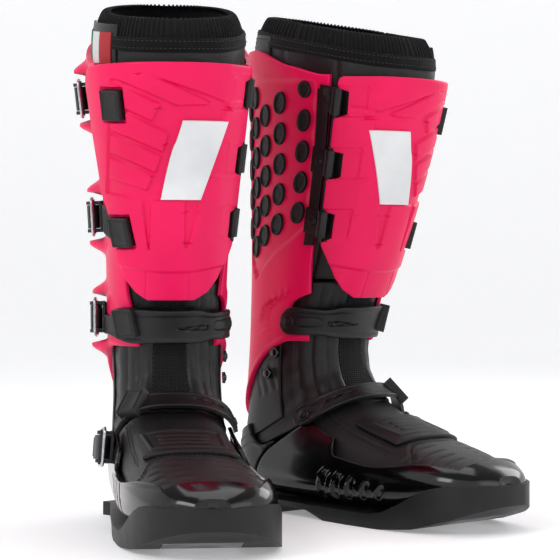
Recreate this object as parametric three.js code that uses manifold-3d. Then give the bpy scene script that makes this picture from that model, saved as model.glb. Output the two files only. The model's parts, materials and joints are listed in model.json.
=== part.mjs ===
// A pair of off-road riding boots: moulded calf shells with hinged shin plates, four lever buckles
// each, flexible ankle gaiters, moulded foot shells and rubber soles. Millimetres, +Z up.
//
// Each boot is built round its last, the shape of the space inside the lining. Every layer of the
// boot is a panel between two offsets of the last, so the layers follow one another everywhere.
// A boot's own frame has the toe towards -Y, the inner side of a right boot towards +X, and the
// ground point under the ankle at the origin. The left boot is the right one, mirrored.
import * as THREE from "three";
import { mergeVertices } from "three/addons/utils/BufferGeometryUtils.js";
import Module from "manifold-3d";

const wasm = await Module();
wasm.setup();
const { Vector3, Vector2, Matrix4, Quaternion, Group, Mesh, Shape, Path } = THREE;

// ---------------------------------------------------------------- driving dimensions
const soleLength = 297; // heel to toe, outside
const rimHeight = 368; // ground to the calf shell's rim at the back
const ballWidth = 89; // inside width of the last at the ball of the foot

const upperWall = 3.2; // lining, padding and upper together
const liningGap = 1.3; // between the upper and the moulded shells round it
const shellWall = 3.0; // moulded calf, heel and foot shells
const plateWall = 3.5; // shin plate
const strapWall = 2.4;
const badgeWall = 1.2;
const layerGap = 0.6; // between any other two layers
const edgeGap = 0.5; // between the edges of two pieces in one layer
const bearingGap = 0.35; // round a hinge pin

const ankleHeight = 108; // the ankle's flexing axis
const plateTop = 342;
const plateBottom = 175;
const badgeTop = 303;
const badgeBottom = 248;
const strapWidth = 20; // at the buckle end
const bucklePinRadius = 1.7;
const leverWidth = 17.6;
const earWall = 2.6;
const bailBar = 2.4; // the bail is bent from square bar
const hingePinRadius = 1.8;
const hingeBarrelRadius = 4.2;
const clipHeight = 20;
const clipLevels = [322, 275, 228];
const heelHeight = 10.5; // of the heel block
const heelLift = 6; // how far the waist of the sole stands off the ground
const randWall = 3.2; // rubber wrapped round the foot shell
const toeBumperHeight = 36;
const toeSpring = 11;
const insoleWall = 5;
const insertDepth = 4;

const rightBoot = { x: -87, y: 0, yaw: 6.5 };
const leftBoot = { x: 30, y: 100, yaw: 43 };

// The layers, as offsets from the last.
const upper = [0, upperWall];
const shell = [upper[1] + liningGap, upper[1] + liningGap + shellWall];
const strap = [shell[1] + layerGap, shell[1] + layerGap + strapWall];
const plate = [strap[1] + layerGap, strap[1] + layerGap + plateWall];
const mouldedStrap = [strap[0], strap[1] + 0.6];
const badge = [plate[1] + 0.5, plate[1] + 0.5 + badgeWall];

// ---------------------------------------------------------------- the last
// Drawn at one size and stretched to the driving dimensions. A station is a slanting cut through the
// last, from its front or top point to its back or bottom point, with the half width on each side,
// how far up the cut the widest place is, and how square the front and the back of the cut are.
const DRAWN = { length: 297, rim: 368, width: 89 };
const STATIONS = [
  { front: [-102, 374], back: [38, 400], wide: [51, 51], at: 0.5, square: [2.5, 2.3], aside: 0 },
  { front: [-105, 345], back: [46, 364], wide: [53, 53], at: 0.5, square: [2.6, 2.3], aside: 0 },
  { front: [-95, 300], back: [48, 312], wide: [48, 48], at: 0.5, square: [2.6, 2.3], aside: 0 },
  { front: [-80, 250], back: [50, 257], wide: [42, 42], at: 0.5, square: [2.5, 2.3], aside: 0 },
  { front: [-63, 205], back: [50, 206], wide: [39, 39], at: 0.5, square: [2.4, 2.3], aside: 0 },
  { front: [-47, 168], back: [50, 162], wide: [38, 38], at: 0.5, square: [2.3, 2.3], aside: 0 },
  { front: [-38, 138], back: [51, 124], wide: [38, 37], at: 0.5, square: [2.3, 2.3], aside: 0 },
  { front: [-40, 115], back: [54, 86], wide: [38, 36], at: 0.48, square: [2.4, 2.4], aside: 0 },
  { front: [-51, 98], back: [56, 47], wide: [40, 37], at: 0.45, square: [2.7, 2.8], aside: 0 },
  { front: [-69, 85], back: [43, 21], wide: [43, 38], at: 0.4, square: [2.9, 3.4], aside: 1 },
  { front: [-93, 74], back: [4, 19], wide: [45, 39], at: 0.36, square: [2.9, 4], aside: 3 },
  { front: [-120, 66], back: [-50, 19], wide: [47, 41], at: 0.32, square: [2.9, 4], aside: 6 },
  { front: [-148, 59], back: [-102, 19], wide: [48, 43], at: 0.32, square: [2.8, 4], aside: 10 },
  { front: [-174, 53], back: [-147, 21], wide: [46, 42], at: 0.34, square: [2.7, 3.6], aside: 14 },
  { front: [-195, 47], back: [-183, 24], wide: [39, 36], at: 0.36, square: [2.5, 3.2], aside: 17 },
  { front: [-208, 41], back: [-204, 28], wide: [27, 25], at: 0.4, square: [2.4, 2.6], aside: 18 },
  { front: [-215, 36], back: [-215, 33], wide: [9, 9], at: 0.5, square: [2.2, 2.2], aside: 18 },
];
const LAST_STATION = STATIONS.length - 1;
const along = soleLength / DRAWN.length;
const tall = rimHeight / DRAWN.rim;
const broad = ballWidth / DRAWN.width;

// A uniform Catmull-Rom curve through one number of every station.
function between(pick, v) {
  const i = Math.min(Math.max(Math.floor(v), 0), LAST_STATION - 1);
  const t = v - i;
  const [a, b, c, d] = [i - 1, i, i + 1, i + 2].map((k) =>
    pick(STATIONS[Math.min(Math.max(k, 0), LAST_STATION)]),
  );
  return (
    b + 0.5 * t * (c - a + t * (2 * a - 5 * b + 4 * c - d + t * (3 * (b - c) + d - a)))
  );
}

const signedPower = (x, p) => Math.sign(x) * Math.abs(x) ** p;
const radians = THREE.MathUtils.degToRad;

// A point of the last. u is the angle round the boot in degrees: 0 at the front, 90 on the inner
// side, 180 at the back. v runs down the stations.
function lastPoint(u, v) {
  const c = Math.cos(radians(u));
  const s = Math.sin(radians(u));
  const yf = between((q) => q.front[0], v);
  const zf = between((q) => q.front[1], v);
  const yb = between((q) => q.back[0], v);
  const zb = between((q) => q.back[1], v);
  const at = between((q) => q.at, v);
  const square = between((q) => q.square[c > 0 ? 0 : 1], v);
  const wide = between((q) => q.wide[s > 0 ? 0 : 1], v);
  const up = signedPower(c, 2 / square) * (c > 0 ? 1 - at : at);
  return new Vector3(
    broad * (between((q) => q.aside, v) + wide * signedPower(s, 2 / square)),
    along * (yb + (yf - yb) * (at + up)),
    tall * (zb + (zf - zb) * (at + up)),
  );
}

function lastNormal(u, v) {
  const du = 1.5;
  const dv = 0.03;
  const v0 = Math.max(v - dv, 0);
  const v1 = Math.min(v + dv, LAST_STATION - 0.01);
  const round = lastPoint(u + du, v).sub(lastPoint(u - du, v));
  const down = lastPoint(u, v1).sub(lastPoint(u, v0));
  return down.cross(round).normalize();
}

function skin(u, v, offset = 0) {
  return lastPoint(u, v).addScaledVector(lastNormal(u, v), offset);
}

// The station where the skin comes down to a height, at one angle round the leg.
function atHeight(u, z, offset = 0) {
  let lo = 0;
  let hi = 8.6;
  for (let k = 0; k < 24; k++) {
    const mid = (lo + hi) / 2;
    if (skin(u, mid, offset).z > z) lo = mid;
    else hi = mid;
  }
  return (lo + hi) / 2;
}

const mix = (a, b, t) => a + (b - a) * t;
const clamp = (x, a, b) => Math.min(Math.max(x, a), b);
const step = (a, b, x) => {
  const t = clamp((x - a) / (b - a), 0, 1);
  return t * t * (3 - 2 * t);
};

// ---------------------------------------------------------------- solids
function toSolid(geometry) {
  const bare = geometry.index ? geometry.toNonIndexed() : geometry.clone();
  bare.deleteAttribute("normal");
  bare.deleteAttribute("uv");
  const merged = mergeVertices(bare, 1e-4);
  const mesh = new wasm.Mesh({
    numProp: 3,
    vertProperties: merged.attributes.position.array,
    triVerts: new Uint32Array(merged.index.array),
  });
  return new wasm.Manifold(mesh);
}

function toGeometry(solid) {
  const mesh = solid.getMesh();
  const geometry = new THREE.BufferGeometry();
  geometry.setAttribute("position", new THREE.BufferAttribute(mesh.vertProperties, 3));
  geometry.setIndex(new THREE.BufferAttribute(mesh.triVerts, 1));
  return geometry;
}

const joined = (...parts) =>
  toGeometry(parts.map(toSolid).reduce((all, next) => all.add(next)));
const cut = (body, ...tools) =>
  toGeometry(tools.map(toSolid).reduce((all, next) => all.subtract(next), toSolid(body)));
const common = (...parts) =>
  toGeometry(parts.map(toSolid).reduce((all, next) => all.intersect(next)));

// A closed solid between two grids of points, with walls round its edge, or closed round the boot.
function slab(columns, rows, point, ring = false) {
  const nodes = [];
  const wide = ring ? columns : columns + 1;
  for (const side of [0, 1])
    for (let j = 0; j <= rows; j++)
      for (let i = 0; i < wide; i++) nodes.push(point(i / columns, j / rows, side));
  const index = [];
  const id = (i, j, side) => side * wide * (rows + 1) + j * wide + (i % wide);
  const quad = (a, b, c, d) => index.push(a, b, c, a, c, d);
  for (let j = 0; j < rows; j++)
    for (let i = 0; i < columns; i++) {
      quad(id(i, j, 1), id(i, j + 1, 1), id(i + 1, j + 1, 1), id(i + 1, j, 1));
      quad(id(i, j, 0), id(i + 1, j, 0), id(i + 1, j + 1, 0), id(i, j + 1, 0));
    }
  for (let i = 0; i < columns; i++) {
    quad(id(i, 0, 0), id(i, 0, 1), id(i + 1, 0, 1), id(i + 1, 0, 0));
    quad(id(i, rows, 0), id(i + 1, rows, 0), id(i + 1, rows, 1), id(i, rows, 1));
  }
  if (!ring)
    for (let j = 0; j < rows; j++) {
      quad(id(0, j, 0), id(0, j + 1, 0), id(0, j + 1, 1), id(0, j, 1));
      quad(id(columns, j, 0), id(columns, j, 1), id(columns, j + 1, 1), id(columns, j + 1, 0));
    }
  return closed(nodes, index);
}

// An indexed geometry whose faces point out, whichever way round the points run.
function closed(nodes, index) {
  let volume = 0;
  for (let k = 0; k < index.length; k += 3) {
    const [a, b, c] = [nodes[index[k]], nodes[index[k + 1]], nodes[index[k + 2]]];
    volume += a.dot(b.clone().cross(c));
  }
  if (volume < 0)
    for (let k = 0; k < index.length; k += 3)
      [index[k + 1], index[k + 2]] = [index[k + 2], index[k + 1]];
  const geometry = new THREE.BufferGeometry().setFromPoints(nodes);
  geometry.setIndex(index);
  return geometry;
}

// A slab between two offsets of the last; place gives the angle and the station.
function panel(columns, rows, layer, place, ring = false) {
  const point = (a, b, side) => skin(...place(a, b), layer[side]);
  return slab(columns, rows, point, ring);
}

// A slab whose columns run from one height to another.
function legPanel(columns, rows, layer, angles, topZ, bottomZ) {
  return panel(columns, rows, layer, (a, b) => {
    const u = mix(...angles(b), a);
    return [u, mix(atHeight(u, topZ(u)), atHeight(u, bottomZ(u)), b)];
  });
}

// The last itself as a solid, grown by an offset, from one station to another.
function lastSolid(offset, from, to, rows, columns = 24) {
  const nodes = [];
  for (let j = 0; j <= rows; j++)
    for (let i = 0; i < columns; i++)
      nodes.push(skin((360 * i) / columns, mix(from, to, j / rows), offset));
  const index = [];
  for (let j = 0; j < rows; j++)
    for (let i = 0; i < columns; i++) {
      const [a, b] = [j * columns + i, j * columns + ((i + 1) % columns)];
      index.push(a, b, b + columns, a, b + columns, a + columns);
    }
  for (const [row, turn] of [[0, 1], [rows, 0]]) {
    const ring = [...Array(columns).keys()].map((i) => row * columns + i);
    nodes.push(ring.reduce((m, k) => m.add(nodes[k]), new Vector3()).divideScalar(columns));
    const hub = nodes.length - 1;
    ring.forEach((k, i) => {
      const next = ring[(i + 1) % columns];
      index.push(hub, turn ? next : k, turn ? k : next);
    });
  }
  return closed(nodes, index);
}

function box(x0, x1, y0, y1, z0, z1) {
  const geometry = new THREE.BoxGeometry(x1 - x0, y1 - y0, z1 - z0);
  return geometry.translate((x0 + x1) / 2, (y0 + y1) / 2, (z0 + z1) / 2);
}

function outlineShape(points) {
  return new Shape(points.map(([x, y]) => new Vector2(x, y)));
}

function circlePath(x, y, radius, sides) {
  const turn = (k) => (2 * Math.PI * k) / sides;
  const points = [...Array(sides).keys()].map(
    (k) => new Vector2(x + radius * Math.cos(turn(k)), y + radius * Math.sin(turn(k))),
  );
  return new Path(points);
}

// A shape drawn in X and Z, extruded along Y about the middle.
function sideExtrusion(shape, width) {
  const geometry = new THREE.ExtrudeGeometry(shape, { depth: width, bevelEnabled: false });
  return geometry.rotateX(Math.PI / 2).translate(0, width / 2, 0);
}

// ---------------------------------------------------------------- materials
const finish = (color, roughness, metalness = 0) =>
  new THREE.MeshStandardMaterial({ color, roughness, metalness });
const pinkPlastic = finish(0xf20f5c, 0.45);
const whitePlastic = finish(0xe8e9ea, 0.4);
const blackPlastic = finish(0x1a1a1c, 0.4);
const glossPlastic = finish(0x111113, 0.15);
const blackRubber = finish(0x1c1c1e, 0.75);
const greyRubber = finish(0x77787a, 0.7);
const leather = finish(0x1b1b1d, 0.6);
const knit = finish(0x161617, 0.9);
const steel = finish(0xb9bbbe, 0.3, 1);

// ---------------------------------------------------------------- groups and hinges
// A group at a hinge, whose own Z axis is the hinge's axis.
function hinge(name, place, axis) {
  const group = new Group();
  group.name = name;
  group.position.copy(place);
  group.quaternion.setFromUnitVectors(new Vector3(0, 0, 1), axis.clone().normalize());
  return group;
}

function piece(parent, name, geometry, material) {
  const mesh = new Mesh(geometry, material);
  mesh.name = name;
  mesh.updateMatrixWorld(true);
  parent.attach(mesh);
  return mesh;
}

// ---------------------------------------------------------------- foot
const shellEdge = shell[1] + layerGap;
const soleTop = (y) => mix(heelHeight, toeBumperHeight, step(-128 * along, -200 * along, y));

// The sole's outline: tucked under the heel cup at the back, wrapped round the foot shell in front.
function footOutline() {
  const edge = (k, v) => {
    const reach = between((q) => q.wide[k], v) * (k ? -1 : 1);
    const x = (between((q) => q.aside, v) + reach) * broad;
    return [x, between((q) => q.back[0], v) * along, mix(-2.5, layerGap + randWall, step(9.2, 12.4, v))];
  };
  const stations = [9.1, 9.8, 10.5, 11.2, 12, 12.6, 13.2, 13.7, 14.2, 14.7, 15.2, 15.6, 15.9];
  const points = stations.map((v) => edge(0, v));
  points.push(...[...stations].reverse().map((v) => edge(1, v)));
  const [heelX, heelY, tuck] = edge(0, stations[0]);
  const heelBack = lastPoint(180, 8.5).y - heelY;
  for (let k = 8; k > 0; k--) {
    const turn = (Math.PI * k) / 9;
    const x = heelX * signedPower(Math.cos(turn), 0.8);
    points.push([x, heelY + heelBack * Math.sin(turn) ** 0.8, tuck]);
  }
  return points.map(([x, y, wrap], k) => {
    const [x0, y0] = points[(k + points.length - 1) % points.length];
    const [x1, y1] = points[(k + 1) % points.length];
    const out = new Vector2(y0 - y1, x1 - x0).normalize().multiplyScalar(shell[1] + wrap);
    return [x + out.x, y + out.y];
  });
}

function outsoleSolid() {
  const depth = toeBumperHeight + 10;
  const outline = outlineShape(footOutline());
  const plan = new THREE.ExtrudeGeometry(outline, { depth, bevelEnabled: false });
  const bottom = [
    [90, 0], [-12, 0], [-18, heelLift], [-52, heelLift], [-74, 0], [-140, 0],
    [-170, toeSpring * 0.25], [-200, toeSpring], [-240, toeSpring * 2.4],
  ].map(([y, z]) => [y * along, z]);
  const top = [-240, -200, -186, -171, -156, -142, -128, 90].map((y) => [
    y * along,
    soleTop(y * along),
  ]);
  return common(plan, profilePrism([...bottom, ...top], -100, 100));
}

// A prism across the boot, drawn in Y and Z, between two places in X.
function profilePrism(points, x0, x1) {
  const prism = { depth: x1 - x0, bevelEnabled: false };
  const geometry = new THREE.ExtrudeGeometry(outlineShape(points), prism);
  const turn = new Matrix4();
  turn.makeBasis(new Vector3(0, 1, 0), new Vector3(0, 0, 1), new Vector3(1, 0, 0));
  return geometry.applyMatrix4(turn).translate(x0, 0, 0);
}

// The wear insert's side outline follows the sole's underside from the ball to the toe.
function insertSolid(grow) {
  const rise = [[-124, 0], [-140, 0], [-170, toeSpring * 0.25], [-194, toeSpring * 0.85]];
  const ends = [grow, 0, 0, -grow];
  const low = rise.map(([y, z], k) => [y * along + ends[k], z - (grow ? 2 : 0)]);
  const high = rise.map(([y, z], k) => [y * along + ends[k], z + insertDepth + grow]);
  const middle = lastPoint(180, 13).x;
  const half = 0.31 * ballWidth + grow;
  return profilePrism([...low, ...high.reverse()], middle - half, middle + half);
}

// The foot shell's upper edge is low beside the instep, and climbs behind it to carry the lower
// strap and its buckle. The heel cup and the foot shell meet on a slanting line.
const footShellEdge = (v) => mix(mix(60, 76, step(9.9, 10.7, v)), 50, step(11.5, 14, v));
const heelSplit = (u) => mix(10.6, 8.75, clamp(Math.abs(u - 180) / 90, 0, 1));

function footShell() {
  const tray = panel(14, 7, shell, (a, b) => {
    const edge = footShellEdge(mix(8.8, 14.4, b));
    const u = mix(edge, 360 - edge, a);
    return [u, mix(heelSplit(u) + 0.09, 14.4, b)];
  });
  const tip = LAST_STATION - 0.02;
  const toe = cut(lastSolid(shell[1], 14.2, tip, 3, 18), lastSolid(shell[0], 13.9, tip, 3, 18));
  return joined(tray, toe);
}

function heelCup() {
  return panel(14, 5, shell, (a, b) => {
    const edge = mix(112, 88, b);
    const u = mix(edge, 360 - edge, a);
    return [u, mix(7.75, heelSplit(u), b)];
  });
}

function buildFoot(foot, name) {
  const inner = lastSolid(shellEdge + 0.7, 9, LAST_STATION - 0.02, 11);
  const heelSeat = lastSolid(shellEdge + 0.7, 7.4, 10.8, 12, 48);
  const sole = cut(outsoleSolid(), inner, heelSeat, insertSolid(edgeGap));
  piece(foot, name("outsole"), sole, blackRubber);
  piece(foot, name("sole_insert"), insertSolid(0), greyRubber);
  const bed = common(
    lastSolid(shell[0] - 2.7, 8.2, LAST_STATION - 0.4, 10, 20),
    box(-90, 90, -260 * along, 90 * along, 0, 19 * tall + insoleWall),
  );
  piece(foot, name("insole"), bed, knit);
  piece(foot, name("foot_shell"), footShell(), glossPlastic);
  piece(foot, name("heel_cup"), heelCup(), blackPlastic);
  const vamp = panel(13, 10, [0, upperWall - 0.8], (a, b) => {
    const v = mix(8.8, 15.8, b);
    return [mix(-98, 98, a), v];
  });
  piece(foot, name("vamp"), vamp, leather);
  const onVamp = [upper[1] + 0.2, upper[1] + 0.2 + shellWall];
  const guard = panel(6, 3, onVamp, (a, b) => [mix(-38, 38, a), mix(9.9, 11.6, b)]);
  piece(foot, name("instep_guard"), guard, blackRubber);
}

// ---------------------------------------------------------------- calf shell and its lining
// The calf shell is open at the front; its edges run forward again where the ankle strap crosses.
const openEdges = (b) => [
  mix(63, 50, step(0.55, 0.95, b)),
  mix(mix(297, 318, step(0.3, 0.6, b)), 332, step(0.7, 0.95, b)),
];
const rimZ = (u) => rimHeight - 24 * tall * step(55, 115, Math.abs(u - 180));
const hemZ = (u) => mix(68, 136, step(12, 112, Math.abs(u - 180)) ** 0.9) * tall;
const gripAngles = () => [75, 138];
const gripTop = (u) => mix(338, 346, (u - 75) / 63) * tall;
const gripBottom = (u) => mix(186, 226, Math.abs(u - 118) / 43) * tall;

function gripPanel(grow, layer) {
  const angles = () => gripAngles().map((u, k) => u + (k ? 1.1 : -1.1) * grow);
  return legPanel(6, 4, layer, angles, (u) => gripTop(u) + grow, (u) => gripBottom(u) - grow);
}

function fin(frame, y, width) {
  const shape = outlineShape([[-16, -4], [14, -4], [10, 6], [-6, 12], [-18, 7]]);
  const geometry = sideExtrusion(shape, width).translate(0, y, 0);
  return geometry.applyMatrix4(frame);
}

// ---------------------------------------------------------------- buckles
// A buckle's frame stands on a shell: X towards the strap, Y across it, Z out of the boot.
function buckleFrame(u, v, tilt = 0) {
  const out = lastNormal(u, v);
  const toStrap = lastPoint(u + 2, v).sub(lastPoint(u - 2, v)).normalize();
  toStrap.applyAxisAngle(out, radians(tilt));
  toStrap.addScaledVector(out, -toStrap.dot(out)).normalize();
  const across = out.clone().cross(toStrap);
  return new Matrix4().makeBasis(toStrap, across, out).setPosition(skin(u, v, shell[1]));
}

const pinAt = [10, 7.5];
const bailAt = [-6, 8];
const earIn = leverWidth / 2 + 0.4;
const earOut = earIn + earWall;
const bailIn = earOut + 0.8;
const bailOut = bailIn + bailBar;
const bailReach = 27;

function buckleBase() {
  const ear = (y) => {
    const shape = outlineShape([[3, 1], [17, 1], [15.5, 10], [12, 12.4], [8, 12.4], [4.5, 10]]);
    return sideExtrusion(shape, earWall).translate(0, y, 0);
  };
  const middle = (earIn + earOut) / 2;
  const pin = new THREE.CylinderGeometry(bucklePinRadius, bucklePinRadius, 2 * earOut - 0.4, 10);
  pin.translate(pinAt[0], 0, pinAt[1]);
  const foot = box(-20, 17, -earOut, earOut, 0.3, 2.5);
  return joined(foot, ear(middle), ear(-middle), pin);
}

function buckleLever() {
  const shape = new Shape();
  shape.moveTo(14.6, 6.6);
  shape.lineTo(13.5, 10.6);
  shape.lineTo(10, 12.1);
  shape.lineTo(-6, 12.6);
  shape.lineTo(-18, 11.4);
  shape.lineTo(-28, 8.2);
  shape.lineTo(-34, 4);
  shape.lineTo(-32.4, 2.6);
  shape.lineTo(-26, 5);
  shape.lineTo(-17, 7);
  shape.lineTo(-10, 5.2);
  shape.lineTo(-6, 4);
  shape.lineTo(-1, 6);
  shape.lineTo(5, 4.6);
  shape.lineTo(10, 3);
  shape.lineTo(13.4, 4.2);
  shape.holes.push(circlePath(...pinAt, bucklePinRadius + bearingGap, 10));
  shape.holes.push(circlePath(...bailAt, bailBar * 0.71 + bearingGap, 8));
  return sideExtrusion(shape, leverWidth);
}

function buckleBail() {
  const half = bailBar / 2;
  const [x0, x1] = [bailAt[0] - half, bailAt[0] + bailReach + half];
  const ring = outlineShape([[x0, -bailOut], [x1, -bailOut], [x1, bailOut], [x0, bailOut]]);
  const hole = [
    [x0 + bailBar, -bailIn],
    [x0 + bailBar, bailIn],
    [x1 - bailBar, bailIn],
    [x1 - bailBar, -bailIn],
  ];
  ring.holes.push(new Path(hole.map(([x, y]) => new Vector2(x, y))));
  const geometry = new THREE.ExtrudeGeometry(ring, { depth: bailBar, bevelEnabled: false });
  return geometry.translate(0, 0, bailAt[1] - half);
}

// One buckle: its base on the parent, the lever hinged to the base and the bail to the lever.
function buildBuckle(parent, frame, place, name) {
  const at = ([x, z]) => new Vector3(x, 0, z).applyMatrix4(frame);
  const across = new Vector3().setFromMatrixColumn(frame, 1);
  const inFrame = (geometry) => geometry.applyMatrix4(frame);
  piece(parent, name(`${place}_buckle_base`), inFrame(buckleBase()), blackPlastic);
  const lever = hinge(name(`${place}_lever_open`), at(pinAt), across);
  parent.attach(lever);
  piece(lever, name(`${place}_lever`), inFrame(buckleLever()), blackPlastic);
  const bail = hinge(name(`${place}_bail_swing`), at(bailAt), across);
  lever.attach(bail);
  piece(bail, name(`${place}_bail`), inFrame(buckleBail()), steel);
}

// A strap's adjuster block, standing through or on the layer above the strap.
function adjuster(frame, high) {
  return box(-9, 9, -11, 11, strap[0] - shell[1] + 0.4, high - shell[1]).applyMatrix4(frame);
}

// A strap round the boot between two angles; middle and half width change along it.
function strapPanel(columns, angles, middle, half, layer = strap) {
  return panel(columns, 2, layer, (a, b) => {
    const u = mix(...angles, a);
    return [u, middle(u) + half(u) * (2 * b - 1)];
  });
}

// ---------------------------------------------------------------- shin plate
const hingeAngle = 55;
const hingeTop = skin(hingeAngle, atHeight(hingeAngle, 335 * tall), plate[0] + 1.6);
const hingeLow = skin(hingeAngle, atHeight(hingeAngle, 212 * tall), plate[0] + 1.6);
const hingeAxis = hingeTop.clone().sub(hingeLow).normalize();
const onHinge = (z) =>
  hingeLow.clone().addScaledVector(hingeAxis, (z - hingeLow.z) / hingeAxis.z);

// The plate's edges, as angles round the leg at a height: the inner one follows the hinge.
const PLATE_EDGES = [
  [342, 55, -71], [300, 55, -67], [252, 55, -60], [228, 55, -47], [214, 54, -45], [202, 46, -43],
  [190, 38, -37], [181, 29, -28], [175, 17, -18],
];
function plateEdges(z) {
  const rows = PLATE_EDGES.map(([level, ...edges]) => [level * tall, ...edges]);
  const k = clamp(rows.findIndex(([level]) => level <= z) - 1, 0, rows.length - 2);
  const t = clamp((rows[k][0] - z) / (rows[k][0] - rows[k + 1][0]), 0, 1);
  return [mix(rows[k][1], rows[k + 1][1], t), mix(rows[k][2], rows[k + 1][2], t)];
}

function plateSolid() {
  const point = (a, b, side) => {
    const z = mix(plateTop, plateBottom, b) * tall;
    const [inner, outer] = plateEdges(z);
    const u = mix(inner, outer, a);
    const p = skin(u, atHeight((u + 360) % 360, z), plate[side]);
    const onto = z > 212 * tall ? clamp(1 - a * 5, 0, 1) : 0;
    const edge = onHinge(z).addScaledVector(lastNormal(hingeAngle, 3), (side - 0.5) * plateWall);
    return p.lerp(edge, onto);
  };
  return slab(10, 11, point);
}

function hingeRod(radius, low, high, sides) {
  const [a, b] = [onHinge(low), onHinge(high)];
  const rod = new THREE.CylinderGeometry(radius, radius, a.distanceTo(b), sides);
  rod.applyQuaternion(new Quaternion().setFromUnitVectors(new Vector3(0, 1, 0), hingeAxis));
  const middle = a.clone().add(b).multiplyScalar(0.5);
  return rod.translate(middle.x, middle.y, middle.z);
}

// A frame on the hinge: Z along the axis, X out of the boot, Y towards the back.
function clipFrame(level) {
  const out = lastNormal(hingeAngle + 8, atHeight(hingeAngle + 8, level * tall));
  out.addScaledVector(hingeAxis, -out.dot(hingeAxis)).normalize();
  const back = hingeAxis.clone().cross(out);
  return new Matrix4().makeBasis(out, back, hingeAxis).setPosition(onHinge(level * tall));
}

function hingeBand() {
  const band = legPanel(2, 4, strap, () => [62, 70], () => 334 * tall, () => 213 * tall);
  let solid = toSolid(band);
  for (const level of clipLevels) {
    const frame = clipFrame(level);
    const half = clipHeight / 2;
    const drop = strap[0] - plate[0] - 1.2;
    const leaf = box(drop, drop + 2.6, 1, 17, -half, half).applyMatrix4(frame);
    const root = box(-hingeBarrelRadius, drop + 2.6, 0, 5, -half, half).applyMatrix4(frame);
    const barrel = hingeRod(hingeBarrelRadius, (level - half) * tall, (level + half) * tall, 10);
    solid = solid.add(toSolid(leaf)).add(toSolid(root)).add(toSolid(barrel));
  }
  const bore = hingeRod(hingePinRadius + bearingGap, 190 * tall, 350 * tall, 8);
  return toGeometry(solid.subtract(toSolid(bore)));
}

function buildShinPlate(leg, name, frames) {
  const shin = hinge(name("shin_plate_open"), hingeLow, hingeAxis);
  leg.attach(shin);
  const notches = clipLevels.map((level) => {
    const half = clipHeight / 2 + 1;
    const reach = hingeBarrelRadius + 1;
    return box(-reach - 2, reach + 2, -reach, reach + 3, -half, half).applyMatrix4(clipFrame(level));
  });
  const windows = frames.map((frame) => box(-10, 10, -12, 12, 0, 30).applyMatrix4(frame));
  const body = cut(plateSolid(), ...notches, ...windows);
  const rod = hingeRod(hingePinRadius, 214 * tall, 333 * tall, 8);
  piece(shin, name("shin_plate"), joined(body, rod), pinkPlastic);
  const inlay = panel(6, 5, badge, (a, b) => {
    const u = mix(mix(32, 16, b), mix(3, -7, b), a);
    return [u, atHeight((u + 360) % 360, mix(badgeTop, badgeBottom, b) * tall)];
  });
  piece(shin, name("shin_badge"), inlay, whitePlastic);
  return shin;
}

// ---------------------------------------------------------------- one boot
const buckleAngle = 262;
const adjusterAngle = 322;
const tailAngle = 281; // where a strap ends, in front of its bail
const strapDrop = 10; // from a calf buckle to its adjuster
const halfStations = strapWidth / 2 / 45; // half a strap's width, in stations of the leg

function buildLeg(boot, name) {
  const leg = hinge(name("ankle_flex"), new Vector3(0, 0, ankleHeight * tall), new Vector3(1, 0, 0));
  boot.attach(leg);
  const levels = { top: 324, mid: 234, ankle: 156 };
  const frameAt = (u, level) => buckleFrame(u, atHeight(u, level * tall));
  const frames = Object.values(levels).map((level) => frameAt(buckleAngle, level));
  const wall = legPanel(18, 8, shell, openEdges, rimZ, hemZ);
  let calf = toSolid(wall).subtract(toSolid(gripPanel(edgeGap, [shell[0] - 2, shell[1] + 3])));
  for (const frame of frames)
    for (const y of [-bailOut - 3.4, bailOut + 3.4]) calf = calf.add(toSolid(fin(frame, y, 4)));
  piece(leg, name("leg_shell"), toGeometry(calf), pinkPlastic);
  piece(leg, name("grip_pad"), gripPanel(0, [shell[0], shell[1] + 1]), blackRubber);
  const lining = panel(20, 7, upper, (a, b) => [360 * a, mix(0, 4.5, b)], true);
  piece(leg, name("collar"), lining, knit);
  piece(leg, name("hinge_band"), hingeBand(), blackRubber);
  Object.keys(levels).forEach((place, k) => buildBuckle(leg, frames[k], place, name));

  const slope = (u, level) => level * tall - strapDrop * step(buckleAngle, adjusterAngle, u);
  const stationOf = (level) => (u) => atHeight(u, slope(u, level));
  const adjusters = ["top", "mid"].map((place) =>
    buckleFrame(adjusterAngle, stationOf(levels[place])(adjusterAngle)),
  );
  const shin = buildShinPlate(leg, name, adjusters);
  ["top", "mid"].forEach((place, k) => {
    const web = strapPanel(5, [tailAngle, adjusterAngle + 7], stationOf(levels[place]), () => halfStations);
    const block = adjuster(adjusters[k], plate[1] + 2.6);
    piece(shin, name(`${place}_strap`), joined(web, block), blackPlastic);
  });

  const rivetAngle = 72;
  const middle = (u) => atHeight((u + 360) % 360, (levels.ankle - 4) * tall);
  const half = (u) => mix(halfStations, 0.44, step(-70, -30, u)) - 0.1 * step(20, 40, u);
  const web = strapPanel(15, [tailAngle - 360, rivetAngle + 8], middle, half, mouldedStrap);
  const block = adjuster(frameAt(adjusterAngle, levels.ankle), strap[1] + 5.4);
  const rivet = rivetHead(buckleFrame(rivetAngle, middle(rivetAngle)));
  const bend = strapBend(leg, name("ankle_strap_open"), rivetAngle + 8, middle(rivetAngle + 8));
  piece(bend, name("ankle_strap"), joined(web, block, rivet), blackPlastic);
}

// A moulded strap is riveted at its inner end and bends open there; the bend stands as a hinge.
function strapBend(parent, name, u, v) {
  const up = skin(u, v - 0.3, strap[0]).sub(skin(u, v + 0.3, strap[0]));
  const bend = hinge(name, skin(u, v, strap[0]), up);
  parent.attach(bend);
  return bend;
}

function rivetHead(frame) {
  const head = new THREE.CylinderGeometry(4.5, 5.5, 2.6, 12);
  head.rotateX(Math.PI / 2).translate(0, 0, strap[1] - shell[1] + 1);
  return head.applyMatrix4(frame);
}

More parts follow.
